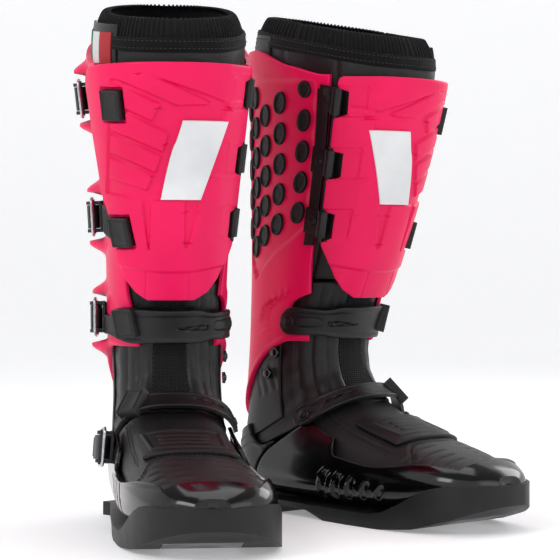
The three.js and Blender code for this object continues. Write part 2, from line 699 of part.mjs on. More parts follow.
function buildInstepStrap(foot, name) {
  const angle = { buckle: 287, tail: 307, block: 333, rivet: 62 };
  const station = (u) => mix(8.62, 9.3, step(-25, -70, u > 180 ? u - 360 : u));
  const frame = (u, tilt) => buckleFrame(u, station(u), tilt);
  buildBuckle(foot, frame(angle.buckle, -24), "instep", name);
  const half = (u) => mix(0.3, 0.4, step(-50, -20, u));
  const web = strapPanel(13, [angle.tail - 360, angle.rivet + 9], station, half, mouldedStrap);
  const block = adjuster(frame(angle.block, -14), strap[1] + 5.4);
  const rivet = rivetHead(frame(angle.rivet, 0));
  const end = angle.rivet + 9;
  const bend = strapBend(foot, name("instep_strap_open"), end, station(end));
  piece(bend, name("instep_strap"), joined(web, block, rivet), blackPlastic);
}

function buildGaiter(foot, name) {
  const ring = (a, b) => {
    const end = mix(8.35, 8.74, step(60, 120, Math.abs(360 * a - 180)));
    return [360 * a, mix(4.56, end, b)];
  };
  piece(foot, name("ankle_gaiter"), panel(20, 7, upper, ring, true), leather);
}

function buildBoot(side) {
  const boot = new Group();
  const name = (piece) => `${piece}_${side}`;
  buildFoot(boot, name);
  buildGaiter(boot, name);
  buildLeg(boot, name);
  buildInstepStrap(boot, name);
  return boot;
}

// ---------------------------------------------------------------- the pair
function stand(boot, place, mirrored) {
  const group = new Group();
  boot.scale.x = mirrored ? -1 : 1;
  group.add(boot);
  group.position.set(place.x, place.y, 0);
  group.rotation.z = radians(place.yaw);
  return group;
}

const pair = new Group();
pair.add(stand(buildBoot("right"), rightBoot, false));
pair.add(stand(buildBoot("left"), leftBoot, true));

// The origin is at the middle of the pair's box, on the ground.
const extent = new THREE.Box3().setFromObject(pair, true);
const centre = extent.getCenter(new Vector3());
for (const group of pair.children) group.position.sub(new Vector3(centre.x, centre.y, extent.min.z));

export default pair;
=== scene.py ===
"""Riding boots: every visible piece of the pair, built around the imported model.

Lengths are in millimetres in the boot's own frame (toe towards -Y, inner side towards +X) until
stand() puts a piece in place, in metres. The left boot is the right one, mirrored.
"""

import json
import math

import bmesh
import bpy
import numpy as np
from mathutils import Matrix, Vector


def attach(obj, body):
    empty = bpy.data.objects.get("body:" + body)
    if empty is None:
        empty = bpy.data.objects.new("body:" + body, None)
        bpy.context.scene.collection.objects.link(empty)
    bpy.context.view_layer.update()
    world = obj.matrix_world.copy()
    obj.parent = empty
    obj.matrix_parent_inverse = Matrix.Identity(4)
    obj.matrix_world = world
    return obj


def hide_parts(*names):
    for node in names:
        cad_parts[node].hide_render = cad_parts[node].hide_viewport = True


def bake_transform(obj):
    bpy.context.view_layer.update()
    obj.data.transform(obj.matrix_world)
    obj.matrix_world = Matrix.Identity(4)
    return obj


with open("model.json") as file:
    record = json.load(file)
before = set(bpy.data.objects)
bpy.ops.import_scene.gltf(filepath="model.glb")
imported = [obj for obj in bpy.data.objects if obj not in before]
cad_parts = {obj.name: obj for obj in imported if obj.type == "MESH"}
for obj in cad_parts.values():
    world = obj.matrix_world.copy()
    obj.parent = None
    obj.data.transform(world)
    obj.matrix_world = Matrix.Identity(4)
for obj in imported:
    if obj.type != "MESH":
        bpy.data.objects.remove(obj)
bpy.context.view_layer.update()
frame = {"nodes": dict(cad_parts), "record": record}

bl_info = {
    "name": "Riding boots",
    "version": (1, 0, 0),
    "blender": (4, 5, 0),
    "location": "View3D > Sidebar > Boots",
    "description": "Builds a pair of off-road riding boots around its packed model",
    "category": "Add Mesh",
}

# ---------------------------------------------------------------- the boot's layers and last
UPPER = (0.0, 3.2)
SHELL = (4.5, 7.5)
STRAP = (8.1, 10.5)
PLATE = (11.1, 14.6)
STRAP_THICK = 11.1
BADGE = (13.1, 15.7)
ANKLE_HEIGHT = 108.0
BUCKLE_ANGLE = 262.0
ADJUSTER_ANGLE = 322.0
TAIL_ANGLE = 281.0
LEVELS = {"top": 324.0, "mid": 234.0, "ankle": 156.0}
CLIP_LEVELS = (322.0, 275.0, 228.0)
HINGE_ANGLE = 55.0
HALF_STRAP = 10.0

# A station is a slanting cut through the last: its front point (y, z), its back point (y, z), its
# half widths inside and outside, how far up it is widest, how square its front and back are, and
# how far it lies to the inner side.
STATIONS = np.array([
    (-102, 374, 38, 400, 51, 51, 0.50, 2.5, 2.3, 0),
    (-105, 345, 46, 364, 53, 53, 0.50, 2.6, 2.3, 0),
    (-95, 300, 48, 312, 48, 48, 0.50, 2.6, 2.3, 0),
    (-80, 250, 50, 257, 42, 42, 0.50, 2.5, 2.3, 0),
    (-63, 205, 50, 206, 39, 39, 0.50, 2.4, 2.3, 0),
    (-47, 168, 50, 162, 38, 38, 0.50, 2.3, 2.3, 0),
    (-38, 138, 51, 124, 38, 37, 0.50, 2.3, 2.3, 0),
    (-40, 115, 54, 86, 38, 36, 0.48, 2.4, 2.4, 0),
    (-51, 98, 56, 47, 40, 37, 0.45, 2.7, 2.8, 0),
    (-69, 85, 43, 21, 43, 38, 0.40, 2.9, 3.4, 1),
    (-93, 74, 4, 19, 45, 39, 0.36, 2.9, 4.0, 3),
    (-120, 66, -50, 19, 47, 41, 0.32, 2.9, 4.0, 6),
    (-148, 59, -102, 19, 48, 43, 0.32, 2.8, 4.0, 10),
    (-174, 53, -147, 21, 46, 42, 0.34, 2.7, 3.6, 14),
    (-195, 47, -183, 24, 39, 36, 0.36, 2.5, 3.2, 17),
    (-208, 41, -204, 28, 27, 25, 0.40, 2.4, 2.6, 18),
    (-215, 36, -215, 33, 9, 9, 0.50, 2.2, 2.2, 18),
], float)
LAST_STATION = len(STATIONS) - 1


def between(column, v):
    """A smooth curve through one number of every station."""
    i = np.clip(v.astype(int), 0, LAST_STATION - 1)
    t = v - i
    a, b, c, d = (STATIONS[np.clip(i + k, 0, LAST_STATION), column] for k in (-1, 0, 1, 2))
    return b + 0.5 * t * (c - a + t * (2 * a - 5 * b + 4 * c - d + t * (3 * (b - c) + d - a)))


def signed_power(x, p):
    return np.sign(x) * np.abs(x) ** p


def last_point(u, v):
    """A point of the last: u is the angle round the boot from the front, v runs down the stations."""
    u, v = np.broadcast_arrays(np.asarray(u, float), np.asarray(v, float))
    v = np.clip(v, 0, LAST_STATION)
    c, s = np.cos(np.radians(u)), np.sin(np.radians(u))
    at = between(6, v)
    square = np.where(c > 0, between(7, v), between(8, v))
    wide = np.where(s > 0, between(4, v), between(5, v))
    up = signed_power(c, 2 / square) * np.where(c > 0, 1 - at, at)
    front, back = (between(0, v), between(1, v)), (between(2, v), between(3, v))
    x = between(9, v) + wide * signed_power(s, 2 / square)
    y = back[0] + (front[0] - back[0]) * (at + up)
    z = back[1] + (front[1] - back[1]) * (at + up)
    return np.stack([x, y, z], -1)


def unit(vectors):
    return vectors / np.maximum(np.linalg.norm(vectors, axis=-1, keepdims=True), 1e-9)


def last_normal(u, v):
    u, v = np.asarray(u, float), np.asarray(v, float)
    round_it = last_point(u + 1.5, v) - last_point(u - 1.5, v)
    v0, v1 = np.clip(v - 0.03, 0, LAST_STATION), np.clip(v + 0.03, 0, LAST_STATION - 0.01)
    return unit(np.cross(last_point(u, v1) - last_point(u, v0), round_it))


def skin(u, v, offset=0.0):
    return last_point(u, v) + last_normal(u, v) * np.asarray(offset, float)[..., None]


def station_at(u, z):
    """The station where the leg comes down to a height, at an angle."""
    u, z = np.broadcast_arrays(np.asarray(u, float), np.asarray(z, float))
    low, high = np.zeros(u.shape), np.full(u.shape, 8.6)
    for _ in range(24):
        middle = (low + high) / 2
        above = last_point(u, middle)[..., 2] > z
        low, high = np.where(above, middle, low), np.where(above, high, middle)
    return (low + high) / 2


def mix(a, b, t):
    return a + (b - a) * t


def step(a, b, x):
    t = np.clip((x - a) / (b - a), 0, 1)
    return t * t * (3 - 2 * t)


def front_angle(u):
    """The angle from the front, between -180 and 180."""
    return (np.asarray(u, float) + 180) % 360 - 180


# ---------------------------------------------------------------- the two boots' places
class Boot:
    """One boot's place in the model, found from its ankle joint."""

    def __init__(self, side):
        self.side = side
        self.mirror = -1.0 if side == "left" else 1.0
        joints = {j["name"]: j for j in frame["record"]["behaviour"]["joints"]}
        ankle = joints["ankle_flex_" + side]
        x, y, _ = ankle["axis"]
        turn = math.atan2(y, x)
        self.yaw = (turn + math.pi / 2) % math.pi - math.pi / 2
        self.origin = np.array([ankle["pos_m"][0], ankle["pos_m"][1], 0.0])

    def name(self, piece):
        return piece + "_" + self.side

    def turn(self, vectors):
        c, s = math.cos(self.yaw), math.sin(self.yaw)
        x = vectors[..., 0] * self.mirror
        y = vectors[..., 1]
        return np.stack([c * x - s * y, s * x + c * y, vectors[..., 2]], -1)

    def stand(self, points):
        return self.turn(np.asarray(points, float)) * 0.001 + self.origin


BOOTS = (Boot("right"), Boot("left"))


# ---------------------------------------------------------------- meshes
def new_object(name, mesh, material):
    obj = bpy.data.objects.new(name, mesh)
    bpy.context.scene.collection.objects.link(obj)
    mesh.materials.clear()
    mesh.materials.append(material)
    return obj


def finish_mesh(mesh, angle=38.0):
    """Smooth faces, with an edge kept sharp where it turns by more than the angle."""
    mesh.polygons.foreach_set("use_smooth", [True] * len(mesh.polygons))
    mesh.set_sharp_from_angle(angle=math.radians(angle))
    mesh.update()


def build(boot, name, points, faces, material, angle=38.0):
    """A piece from points in the boot's frame and the faces between them, facing outwards."""
    material_name, slot = material
    mesh = bpy.data.meshes.new(boot.name(name))
    placed = boot.stand(np.asarray(points).reshape(-1, 3))
    mesh.from_pydata(placed.tolist(), [], faces)
    bm = bmesh.new()
    bm.from_mesh(mesh)
    bmesh.ops.recalc_face_normals(bm, faces=bm.faces)
    if bm.calc_volume(signed=True) < 0:
        bmesh.ops.reverse_faces(bm, faces=bm.faces)
    bm.to_mesh(mesh)
    bm.free()
    finish_mesh(mesh, angle)
    return new_object(boot.name(name), mesh, bpy.data.materials[material_name])


def spaced(count, total, edge=1.2):
    """Places from 0 to 1 along a length, closer together at both ends so an edge can be rounded."""
    near = np.array([0.0, 0.12, 0.4, 1.0]) * edge / total
    return np.concatenate([near, np.linspace(near[-1], 1 - near[-1], count)[1:-1], (1 - near)[::-1]])


def edge_distance(base, ring):
    """How far each point of a grid lies from the grid's edge, along its rows and columns."""
    across = np.linalg.norm(np.diff(base, axis=1), axis=2)
    down = np.linalg.norm(np.diff(base, axis=0), axis=2)
    run = np.concatenate([np.zeros((base.shape[0], 1)), np.cumsum(across, 1)], 1)
    fall = np.concatenate([np.zeros((1, base.shape[1])), np.cumsum(down, 0)], 0)
    far = np.minimum(fall, fall[-1:] - fall)
    return far if ring else np.minimum(far, np.minimum(run, run[:, -1:] - run))


def grid_faces(rows, columns, ring):
    """Quads of two grids, one over the other, and of the walls between their edges."""
    faces = []
    reach = columns if ring else columns - 1
    size = rows * columns

    def at(i, j, layer):
        return layer * size + j * columns + i % columns

    for j in range(rows - 1):
        for i in range(reach):
            faces.append((at(i, j, 1), at(i, j + 1, 1), at(i + 1, j + 1, 1), at(i + 1, j, 1)))
            faces.append((at(i, j, 0), at(i + 1, j, 0), at(i + 1, j + 1, 0), at(i, j + 1, 0)))
    for i in range(reach):
        faces.append((at(i, 0, 0), at(i, 0, 1), at(i + 1, 0, 1), at(i + 1, 0, 0)))
        last = rows - 1
        faces.append((at(i, last, 0), at(i + 1, last, 0), at(i + 1, last, 1), at(i, last, 1)))
    if not ring:
        for j in range(rows - 1):
            faces.append((at(0, j, 0), at(0, j + 1, 0), at(0, j + 1, 1), at(0, j, 1)))
            last = columns - 1
            faces.append((at(last, j, 0), at(last, j, 1), at(last, j + 1, 1), at(last, j + 1, 0)))
    return faces


def moulding(boot, name, a, b, where, layer, material, relief=None, radius=1.2, ring=False, angle=38.0,
             shape=None):
    """A wall between two offsets of the last with rounded edges and a relief on its outside.

    where gives the angle and station of each place, and relief how much the outside stands out
    there, from the angle, the station and the point. shape can move the finished points.
    """
    A, B = np.meshgrid(a, b)
    U, V = where(A, B)
    base = skin(U, V, layer[1])
    distance = edge_distance(base, ring)
    inside = np.clip(radius - distance, 0, radius)
    drop = radius - np.sqrt(np.maximum(radius ** 2 - inside ** 2, 0))
    rise = relief(U, V, base) if relief else 0.0
    bottom = np.broadcast_to(layer[0], U.shape)
    top = np.maximum(layer[1] - drop + rise, bottom + 0.25)
    outer = skin(U, V, top)
    inner = skin(U, V, bottom)
    if shape:
        inner, outer = shape(inner, A, B, 0), shape(outer, A, B, 1)
    points = np.concatenate([inner.reshape(-1, 3), outer.reshape(-1, 3)])
    return build(boot, name, points, grid_faces(len(b), len(a), ring), material, angle)


def inside_polygon(x, z, corners, soft):
    """1 inside a convex outline, given anticlockwise or clockwise, falling to 0 over a soft edge."""
    corners = np.asarray(corners, float)
    area = 0.0
    for (x0, z0), (x1, z1) in zip(corners, np.roll(corners, -1, 0)):
        area += x0 * z1 - x1 * z0
    far = np.full(np.shape(x), -1e9)
    for (x0, z0), (x1, z1) in zip(corners, np.roll(corners, -1, 0)):
        length = math.hypot(x1 - x0, z1 - z0)
        out = ((x - x0) * (z1 - z0) - (z - z0) * (x1 - x0)) / length * np.sign(area)
        far = np.maximum(far, out)
    return 1 - step(-soft / 2, soft / 2, far)


def capsule(x, z, start, end, half, soft):
    """1 along a straight slot of half a width, falling to 0 over a soft edge."""
    start, end = np.asarray(start, float), np.asarray(end, float)
    run = end - start
    t = np.clip(((x - start[0]) * run[0] + (z - start[1]) * run[1]) / (run @ run), 0, 1)
    far = np.hypot(x - start[0] - t * run[0], z - start[1] - t * run[1])
    return 1 - step(half - soft / 2, half + soft / 2, far)


def air_filled(where, held, most):
    """Blows up the padding between its held seams as cloth, and gives the swelling at any place in mm.

    The swelling is found on a coarse ring of the wall, held at its lining, its seams and its ends.
    """
    a, b = np.linspace(0, 1, 97)[:-1], np.linspace(0, 1, 41)
    A, B = np.meshgrid(a, b)
    U, V = where(A, B)
    outer = skin(U, V, np.full(U.shape, UPPER[1]))
    inner = skin(U, V, np.full(U.shape, UPPER[0] + 0.2))
    points = np.concatenate([inner.reshape(-1, 3), outer.reshape(-1, 3)]) * 0.001
    mesh = bpy.data.meshes.new("air_trial")
    mesh.from_pydata(points.tolist(), [], grid_faces(len(b), len(a), True))
    trial = bpy.data.objects.new("air_trial", mesh)
    scene = bpy.context.scene
    scene.collection.objects.link(trial)
    bm = bmesh.new()
    bm.from_mesh(mesh)
    bmesh.ops.recalc_face_normals(bm, faces=bm.faces)
    bm.to_mesh(mesh)
    bm.free()
    fixed = held(U, V) | (B < 0.03) | (B > 0.97)
    count = U.size
    pinned = list(range(count)) + (count + np.flatnonzero(fixed.reshape(-1))).tolist()
    trial.vertex_groups.new(name="held").add(pinned, 1.0, "REPLACE")
    air = trial.modifiers.new("air", "CLOTH")
    air.settings.quality = 5
    air.settings.mass = 0.15
    air.settings.vertex_group_mass = "held"
    air.settings.use_pressure = True
    air.settings.uniform_pressure_force = 4.0
    air.settings.effector_weights.gravity = 0.0
    air.point_cache.frame_start = 1
    air.point_cache.frame_end = 20
    for frame_number in range(1, 21):
        scene.frame_set(frame_number)
    solved = trial.evaluated_get(bpy.context.evaluated_depsgraph_get()).data
    moved = np.empty(len(solved.vertices) * 3)
    solved.vertices.foreach_get("co", moved)
    shift = (moved.reshape(-1, 3)[count:] - points[count:]).reshape(*U.shape, 3) * 1000
    rise = most * np.tanh(np.maximum((shift * unit(outer - inner)).sum(-1), 0) / most)
    scene.frame_set(1)
    bpy.data.objects.remove(trial)
    bpy.data.meshes.remove(mesh)

    def swelling(a, b):
        across = (a % 1) * rise.shape[1]
        down = np.clip(b, 0, 1) * (rise.shape[0] - 1)
        i = np.floor(across).astype(int) % rise.shape[1]
        j = np.minimum(np.floor(down).astype(int), rise.shape[0] - 2)
        s, t = across - np.floor(across), down - j
        n = (i + 1) % rise.shape[1]
        return mix(mix(rise[j, i], rise[j, n], s), mix(rise[j + 1, i], rise[j + 1, n], s), t)
    return swelling


# ---------------------------------------------------------------- materials
def linear(colour):
    """An sRGB hex colour as linear red, green, blue and alpha."""
    channels = [int(colour[k:k + 2], 16) / 255 for k in (1, 3, 5)]
    return [c / 12.92 if c <= 0.04045 else ((c + 0.055) / 1.055) ** 2.4 for c in channels] + [1.0]


def add_node(tree, kind, links=None, **settings):
    """Adds a node; links and settings name its inputs, a setting that is no input is an attribute."""
    node = tree.nodes.new(kind)
    for key, value in settings.items():
        if hasattr(node, key):
            setattr(node, key, value)
        else:
            node.inputs[key.replace("_", " ")].default_value = value
    for key, source in (links or {}).items():
        tree.links.new(source, node.inputs[key])
    return node


def new_material(name, **shader):
    material = bpy.data.materials.new(name)
    material.use_nodes = True
    tree = material.node_tree
    tree.nodes.clear()
    surface = add_node(tree, "ShaderNodeBsdfPrincipled")
    for key, value in shader.items():
        surface.inputs[key.replace("_", " ")].default_value = value
    out = add_node(tree, "ShaderNodeOutputMaterial")
    tree.links.new(surface.outputs["BSDF"], out.inputs["Surface"])
    where = add_node(tree, "ShaderNodeTexCoord")
    return tree, surface, where.outputs["Object"]


def per_metre(millimetres):
    """The texture scale at which one feature of a pattern is this long."""
    return 1000.0 / millimetres


def tone(tree, surface, source, dark, light, low=0.35, high=0.65):
    """Colour running from dark to light with a pattern."""
    ramp = add_node(tree, "ShaderNodeValToRGB", {"Fac": source})
    ramp.color_ramp.elements[0].position = low
    ramp.color_ramp.elements[1].position = high
    ramp.color_ramp.elements[0].color = linear(dark)
    ramp.color_ramp.elements[1].color = linear(light)
    tree.links.new(ramp.outputs["Color"], surface.inputs["Base Color"])


def spread(tree, surface, source, low, high):
    """Roughness running from low to high with a pattern."""
    node = add_node(tree, "ShaderNodeMapRange", {"Value": source}, To_Min=low, To_Max=high)
    tree.links.new(node.outputs["Result"], surface.inputs["Roughness"])


def relief(tree, surface, source, depth, strength=1.0, normal=None):
    """A bump of a depth in millimetres."""
    links = {"Height": source}
    if normal:
        links["Normal"] = normal
    bump = add_node(tree, "ShaderNodeBump", links, Distance=depth * 0.001, Strength=strength)
    tree.links.new(bump.outputs["Normal"], surface.inputs["Normal"])
    return bump.outputs["Normal"]


def noise(tree, where, size, detail=2.0):
    node = add_node(tree, "ShaderNodeTexNoise", {"Vector": where}, Scale=per_metre(size), Detail=detail)
    return node.outputs["Fac"]


def cells(tree, where, size, feature="F1"):
    node = add_node(tree, "ShaderNodeTexVoronoi", {"Vector": where}, feature=feature, Scale=per_metre(size))
    return node.outputs["Distance"]


def moulded_plastic(name, dark, light, rough, grain=0.9, depth=0.03, ior=1.5, **shader):
    """Injection moulding: an even colour with a faint flow, and the fine spark grain of the mould."""
    tree, surface, where = new_material(name, IOR=ior, **shader)
    tone(tree, surface, noise(tree, where, 60.0, 3.0), dark, light, 0.3, 0.7)
    spread(tree, surface, noise(tree, where, 14.0, 4.0), rough - 0.05, rough + 0.07)
    relief(tree, surface, noise(tree, where, grain, 2.0), depth)


def rubber(name, dark, light, rough):
    """Moulded rubber: dull, with a dusty bloom and a slightly uneven skin."""
    tree, surface, where = new_material(name, IOR=1.52, Specular_IOR_Level=0.35)
    tone(tree, surface, noise(tree, where, 22.0, 5.0), dark, light)
    spread(tree, surface, noise(tree, where, 9.0, 3.0), rough - 0.06, rough + 0.08)
    relief(tree, surface, noise(tree, where, 1.1, 3.0), 0.05)


def leather(name, dark, light, grain, rough):
    """Corrected-grain synthetic leather: pebbles about a millimetre across and soft creases."""
    tree, surface, where = new_material(name, IOR=1.48, Specular_IOR_Level=0.4, Sheen_Weight=0.02)
    pebbles = cells(tree, where, grain, "SMOOTH_F1")
    tone(tree, surface, noise(tree, where, 30.0, 4.0), dark, light)
    spread(tree, surface, pebbles, rough - 0.06, rough + 0.1)
    first = relief(tree, surface, noise(tree, where, 18.0, 3.0), 0.6, 0.5)
    relief(tree, surface, pebbles, 0.16, 0.8, first)


def cloth(name, dark, light, pitch, rough=0.85):
    """Woven or knitted yarn: crossing threads that show as a fine net."""
    tree, surface, where = new_material(name, IOR=1.46, Specular_IOR_Level=0.25, Sheen_Weight=0.05,
                                        Sheen_Roughness=0.5)
    heights = []
    for direction in ("X", "Z"):
        wave = add_node(tree, "ShaderNodeTexWave", {"Vector": where}, bands_direction=direction,
                        Scale=per_metre(pitch) / 3.2, Distortion=0.6, Detail=1.0)
        heights.append(wave.outputs["Fac"])
    both = add_node(tree, "ShaderNodeMath", operation="MULTIPLY")
    tree.links.new(heights[0], both.inputs[0])
    tree.links.new(heights[1], both.inputs[1])
    tone(tree, surface, both.outputs[0], dark, light, 0.1, 0.8)
    spread(tree, surface, noise(tree, where, 12.0), rough - 0.05, rough + 0.08)
    relief(tree, surface, both.outputs[0], 0.3)


def polished_wire(name, dark, light):
    """Drawn stainless wire, tumbled bright: long faint draw marks in a near mirror."""
    tree, surface, where = new_material(name, Metallic=1.0)
    stretch = add_node(tree, "ShaderNodeMapping", {"Vector": where}, Scale=(1.0, 1.0, 0.15))
    marks = noise(tree, stretch.outputs["Vector"], 0.6, 3.0)
    tone(tree, surface, marks, dark, light)
    spread(tree, surface, marks, 0.12, 0.26)
    relief(tree, surface, marks, 0.01)


def make_materials(colours):
    moulded_plastic("Satin TPU shell", colours.shell_shade, colours.shell, 0.38, Specular_IOR_Level=0.22)
    moulded_plastic("ABS inlay", "#CFD0D2", colours.inlay, 0.4)
    moulded_plastic("Glass-filled nylon", "#070708", colours.plastic, 0.42, grain=0.8, depth=0.05,
                    Specular_IOR_Level=0.4)
    moulded_plastic("Gloss polyurethane", "#020203", colours.gloss, 0.13, grain=6.0, depth=0.04)
    rubber("Carbon-black rubber", "#060607", colours.rubber, 0.5)
    rubber("Grey wear rubber", "#77777A", "#98989B", 0.6)
    leather("Microfibre leather", "#060607", colours.leather, 1.3, 0.46)
    cloth("Rib knit", "#020203", "#161617", 0.9)
    cloth("Air mesh", "#020203", "#2C2C2F", 1.5)
    cloth("Bonded thread", "#2A2A2D", "#4C4C50", 0.5, 0.6)
    cloth("Green ribbon", "#1F6B3D", "#3E8F5C", 0.6)
    cloth("White ribbon", "#D5D5D6", "#F4F4F4", 0.6)
    cloth("Red ribbon", "#A82A2E", "#D2474A", 0.6)
    polished_wire("Stainless wire", "#A4A6AA", "#D5D7DA")


PINK = ("Satin TPU shell", "pink_plastic")
INLAY = ("ABS inlay", "white_plastic")
NYLON = ("Glass-filled nylon", "black_plastic")
GLOSS = ("Gloss polyurethane", "gloss_black_plastic")
RUBBER = ("Carbon-black rubber", "black_rubber")
WEAR = ("Grey wear rubber", "grey_rubber")
LEATHER = ("Microfibre leather", "black_leather")
KNIT = ("Rib knit", "black_knit")
MESH = ("Air mesh", "black_knit")
THREAD = ("Bonded thread", "black_knit")
WIRE = ("Stainless wire", "bright_steel")


# ---------------------------------------------------------------- geometry nodes
def start_tree(name, inputs):
    tree = bpy.data.node_groups.new(name, "GeometryNodeTree")
    tree.interface.new_socket("Geometry", in_out="INPUT", socket_type="NodeSocketGeometry")
    for key, kind in inputs.items():
        tree.interface.new_socket(key, in_out="INPUT", socket_type="NodeSocket" + kind)
    tree.interface.new_socket("Material", in_out="INPUT", socket_type="NodeSocketMaterial")
    tree.interface.new_socket("Geometry", in_out="OUTPUT", socket_type="NodeSocketGeometry")
    return tree, tree.nodes.new("NodeGroupInput").outputs


def end_tree(tree, given, geometry):
    real = add_node(tree, "GeometryNodeRealizeInstances", {"Geometry": geometry})
    links = {"Geometry": real.outputs["Geometry"], "Material": given["Material"]}
    painted = add_node(tree, "GeometryNodeSetMaterial", links)
    add_node(tree, "NodeGroupOutput", {"Geometry": painted.outputs["Geometry"]})
    return tree


def named_vector(tree, name):
    node = add_node(tree, "GeometryNodeInputNamedAttribute", data_type="FLOAT_VECTOR")
    node.inputs["Name"].default_value = name
    return node.outputs["Attribute"]


def turned(tree, along, facing):
    """X along the line and Z out of the surface."""
    first = add_node(tree, "FunctionNodeAlignRotationToVector", {"Vector": along}, axis="X")
    links = {"Vector": facing, "Rotation": first.outputs["Rotation"]}
    second = add_node(tree, "FunctionNodeAlignRotationToVector", links, axis="Z", pivot_axis="X")
    return second.outputs["Rotation"]


def stitch_tree():
    """Threads of one length laid end to end along lines, at a pitch."""
    tree, given = start_tree("Stitches", {"Pitch": "Float", "Length": "Float", "Width": "Float"})
    line = add_node(tree, "GeometryNodeMeshToCurve", {"Mesh": given["Geometry"]})
    links = {"Curve": line.outputs["Curve"], "Length": given["Pitch"]}
    evenly = add_node(tree, "GeometryNodeResampleCurve", links, mode="LENGTH")
    ball = add_node(tree, "GeometryNodeMeshUVSphere", Segments=6, Rings=4, Radius=0.5)
    links = {"X": given["Length"], "Y": given["Width"], "Z": given["Width"]}
    size = add_node(tree, "ShaderNodeCombineXYZ", links)
    links = {"Geometry": ball.outputs["Mesh"], "Scale": size.outputs["Vector"]}
    thread = add_node(tree, "GeometryNodeTransform", links)
    tangent = add_node(tree, "GeometryNodeInputTangent")
    rotation = turned(tree, tangent.outputs["Tangent"], named_vector(tree, "facing"))
    links = {"Points": evenly.outputs["Curve"], "Instance": thread.outputs["Geometry"], "Rotation": rotation}
    laid = add_node(tree, "GeometryNodeInstanceOnPoints", links)
    return end_tree(tree, given, laid.outputs["Instances"])


def stud_tree():
    """One unit shape on every point, sized by the inputs and by the point's own size."""
    inputs = {"Shape": "Object", "Length": "Float", "Width": "Float", "Height": "Float"}
    tree, given = start_tree("Studs", inputs)
    shape = add_node(tree, "GeometryNodeObjectInfo", {"Object": given["Shape"]})
    links = {"X": given["Length"], "Y": given["Width"], "Z": given["Height"]}
    size = add_node(tree, "ShaderNodeCombineXYZ", links)
    scale = add_node(tree, "ShaderNodeVectorMath", operation="MULTIPLY")
    tree.links.new(size.outputs["Vector"], scale.inputs[0])
    tree.links.new(named_vector(tree, "size"), scale.inputs[1])
    rotation = turned(tree, named_vector(tree, "along"), named_vector(tree, "facing"))
    links = {"Points": given["Geometry"], "Instance": shape.outputs["Geometry"], "Rotation": rotation,
             "Scale": scale.outputs["Vector"]}
    set_out = add_node(tree, "GeometryNodeInstanceOnPoints", links)
    return end_tree(tree, given, set_out.outputs["Instances"])


def rod_tree():
    """A round rod swept along every line, closed at both ends."""
    tree, given = start_tree("Rods", {"Radius": "Float", "Sides": "Int"})
    line = add_node(tree, "GeometryNodeMeshToCurve", {"Mesh": given["Geometry"]})
    links = {"Resolution": given["Sides"], "Radius": given["Radius"]}
    section = add_node(tree, "GeometryNodeCurvePrimitiveCircle", links)
    links = {"Curve": line.outputs["Curve"], "Profile Curve": section.outputs["Curve"]}
    swept = add_node(tree, "GeometryNodeCurveToMesh", links)
    swept.inputs["Fill Caps"].default_value = True
    return end_tree(tree, given, swept.outputs["Mesh"])


def lines_mesh(boot, lines, along=None, size=None):
    """A mesh of lines or loose points in the boot's frame, with the surface's direction at each."""
    points, facing, edges = [], [], []
    for line in lines:
        first = len(points)
        points.extend(line["points"])
        facing.extend(line["facing"])
        count = len(line["points"])
        if line.get("loose"):
            continue
        edges.extend((first + k, first + k + 1) for k in range(count - 1))
        if line.get("closed"):
            edges.append((first + count - 1, first))
    mesh = bpy.data.meshes.new("lines")
    mesh.from_pydata(boot.stand(points).tolist(), edges, [])
    count = len(points)
    values = {"facing": boot.turn(np.asarray(facing))}
    values["along"] = boot.turn(np.asarray(along)) if along is not None else np.zeros((count, 3))
    values["size"] = np.asarray(size) if size is not None else np.ones((count, 3))
    for key, vectors in values.items():
        layer = mesh.attributes.new(key, "FLOAT_VECTOR", "POINT")
        layer.data.foreach_set("vector", vectors.astype(np.float32).ravel())
    return mesh


def grow(boot, name, tree_name, mesh, material, angle=50.0, **inputs):
    """Runs a tree over a mesh of lines or points and keeps the result as a plain mesh."""
    material_name, slot = material
    tree = bpy.data.node_groups[tree_name]
    sockets = {i.name: i.identifier for i in tree.interface.items_tree if i.in_out == "INPUT"}
    source = bpy.data.objects.new("source", mesh)
    bpy.context.scene.collection.objects.link(source)
    modifier = source.modifiers.new("grow", "NODES")
    modifier.node_group = tree
    for key, value in {**inputs, "Material": bpy.data.materials[material_name]}.items():
        modifier[sockets[key]] = value
    evaluated = source.evaluated_get(bpy.context.evaluated_depsgraph_get())
    result = bpy.data.meshes.new_from_object(evaluated)
    source.modifiers.remove(modifier)
    bpy.data.objects.remove(source)
    if not result.polygons:
        raise RuntimeError(f"{tree_name} made nothing for {boot.name(name)}")
    result.name = boot.name(name)
    for layer in ("facing", "along", "size"):
        if layer in result.attributes:
            result.attributes.remove(result.attributes[layer])
    finish_mesh(result, angle)
    return new_object(boot.name(name), result, bpy.data.materials[material_name])


def lathe_shape(name, profile, sides=20):
    """A unit shape turned about Z from (radius, height) pairs that start and end on the axis."""
    mesh = bpy.data.meshes.new(name)
    bm = bmesh.new()
    rings = []
    for radius, height in profile:
        if radius == 0:
            rings.append([bm.verts.new((0, 0, height))])
            continue
        turns = [2 * math.pi * k / sides for k in range(sides)]
        rings.append([bm.verts.new((radius * math.cos(t), radius * math.sin(t), height)) for t in turns])
    for low, high in zip(rings, rings[1:]):
        for k in range(sides):
            n = (k + 1) % sides
            corners = [low[k % len(low)], low[n % len(low)], high[n % len(high)], high[k % len(high)]]
            bm.faces.new(list(dict.fromkeys(corners)))
    bmesh.ops.recalc_face_normals(bm, faces=bm.faces)
    bm.to_mesh(mesh)
    bm.free()
    return bpy.data.objects.new(name, mesh)


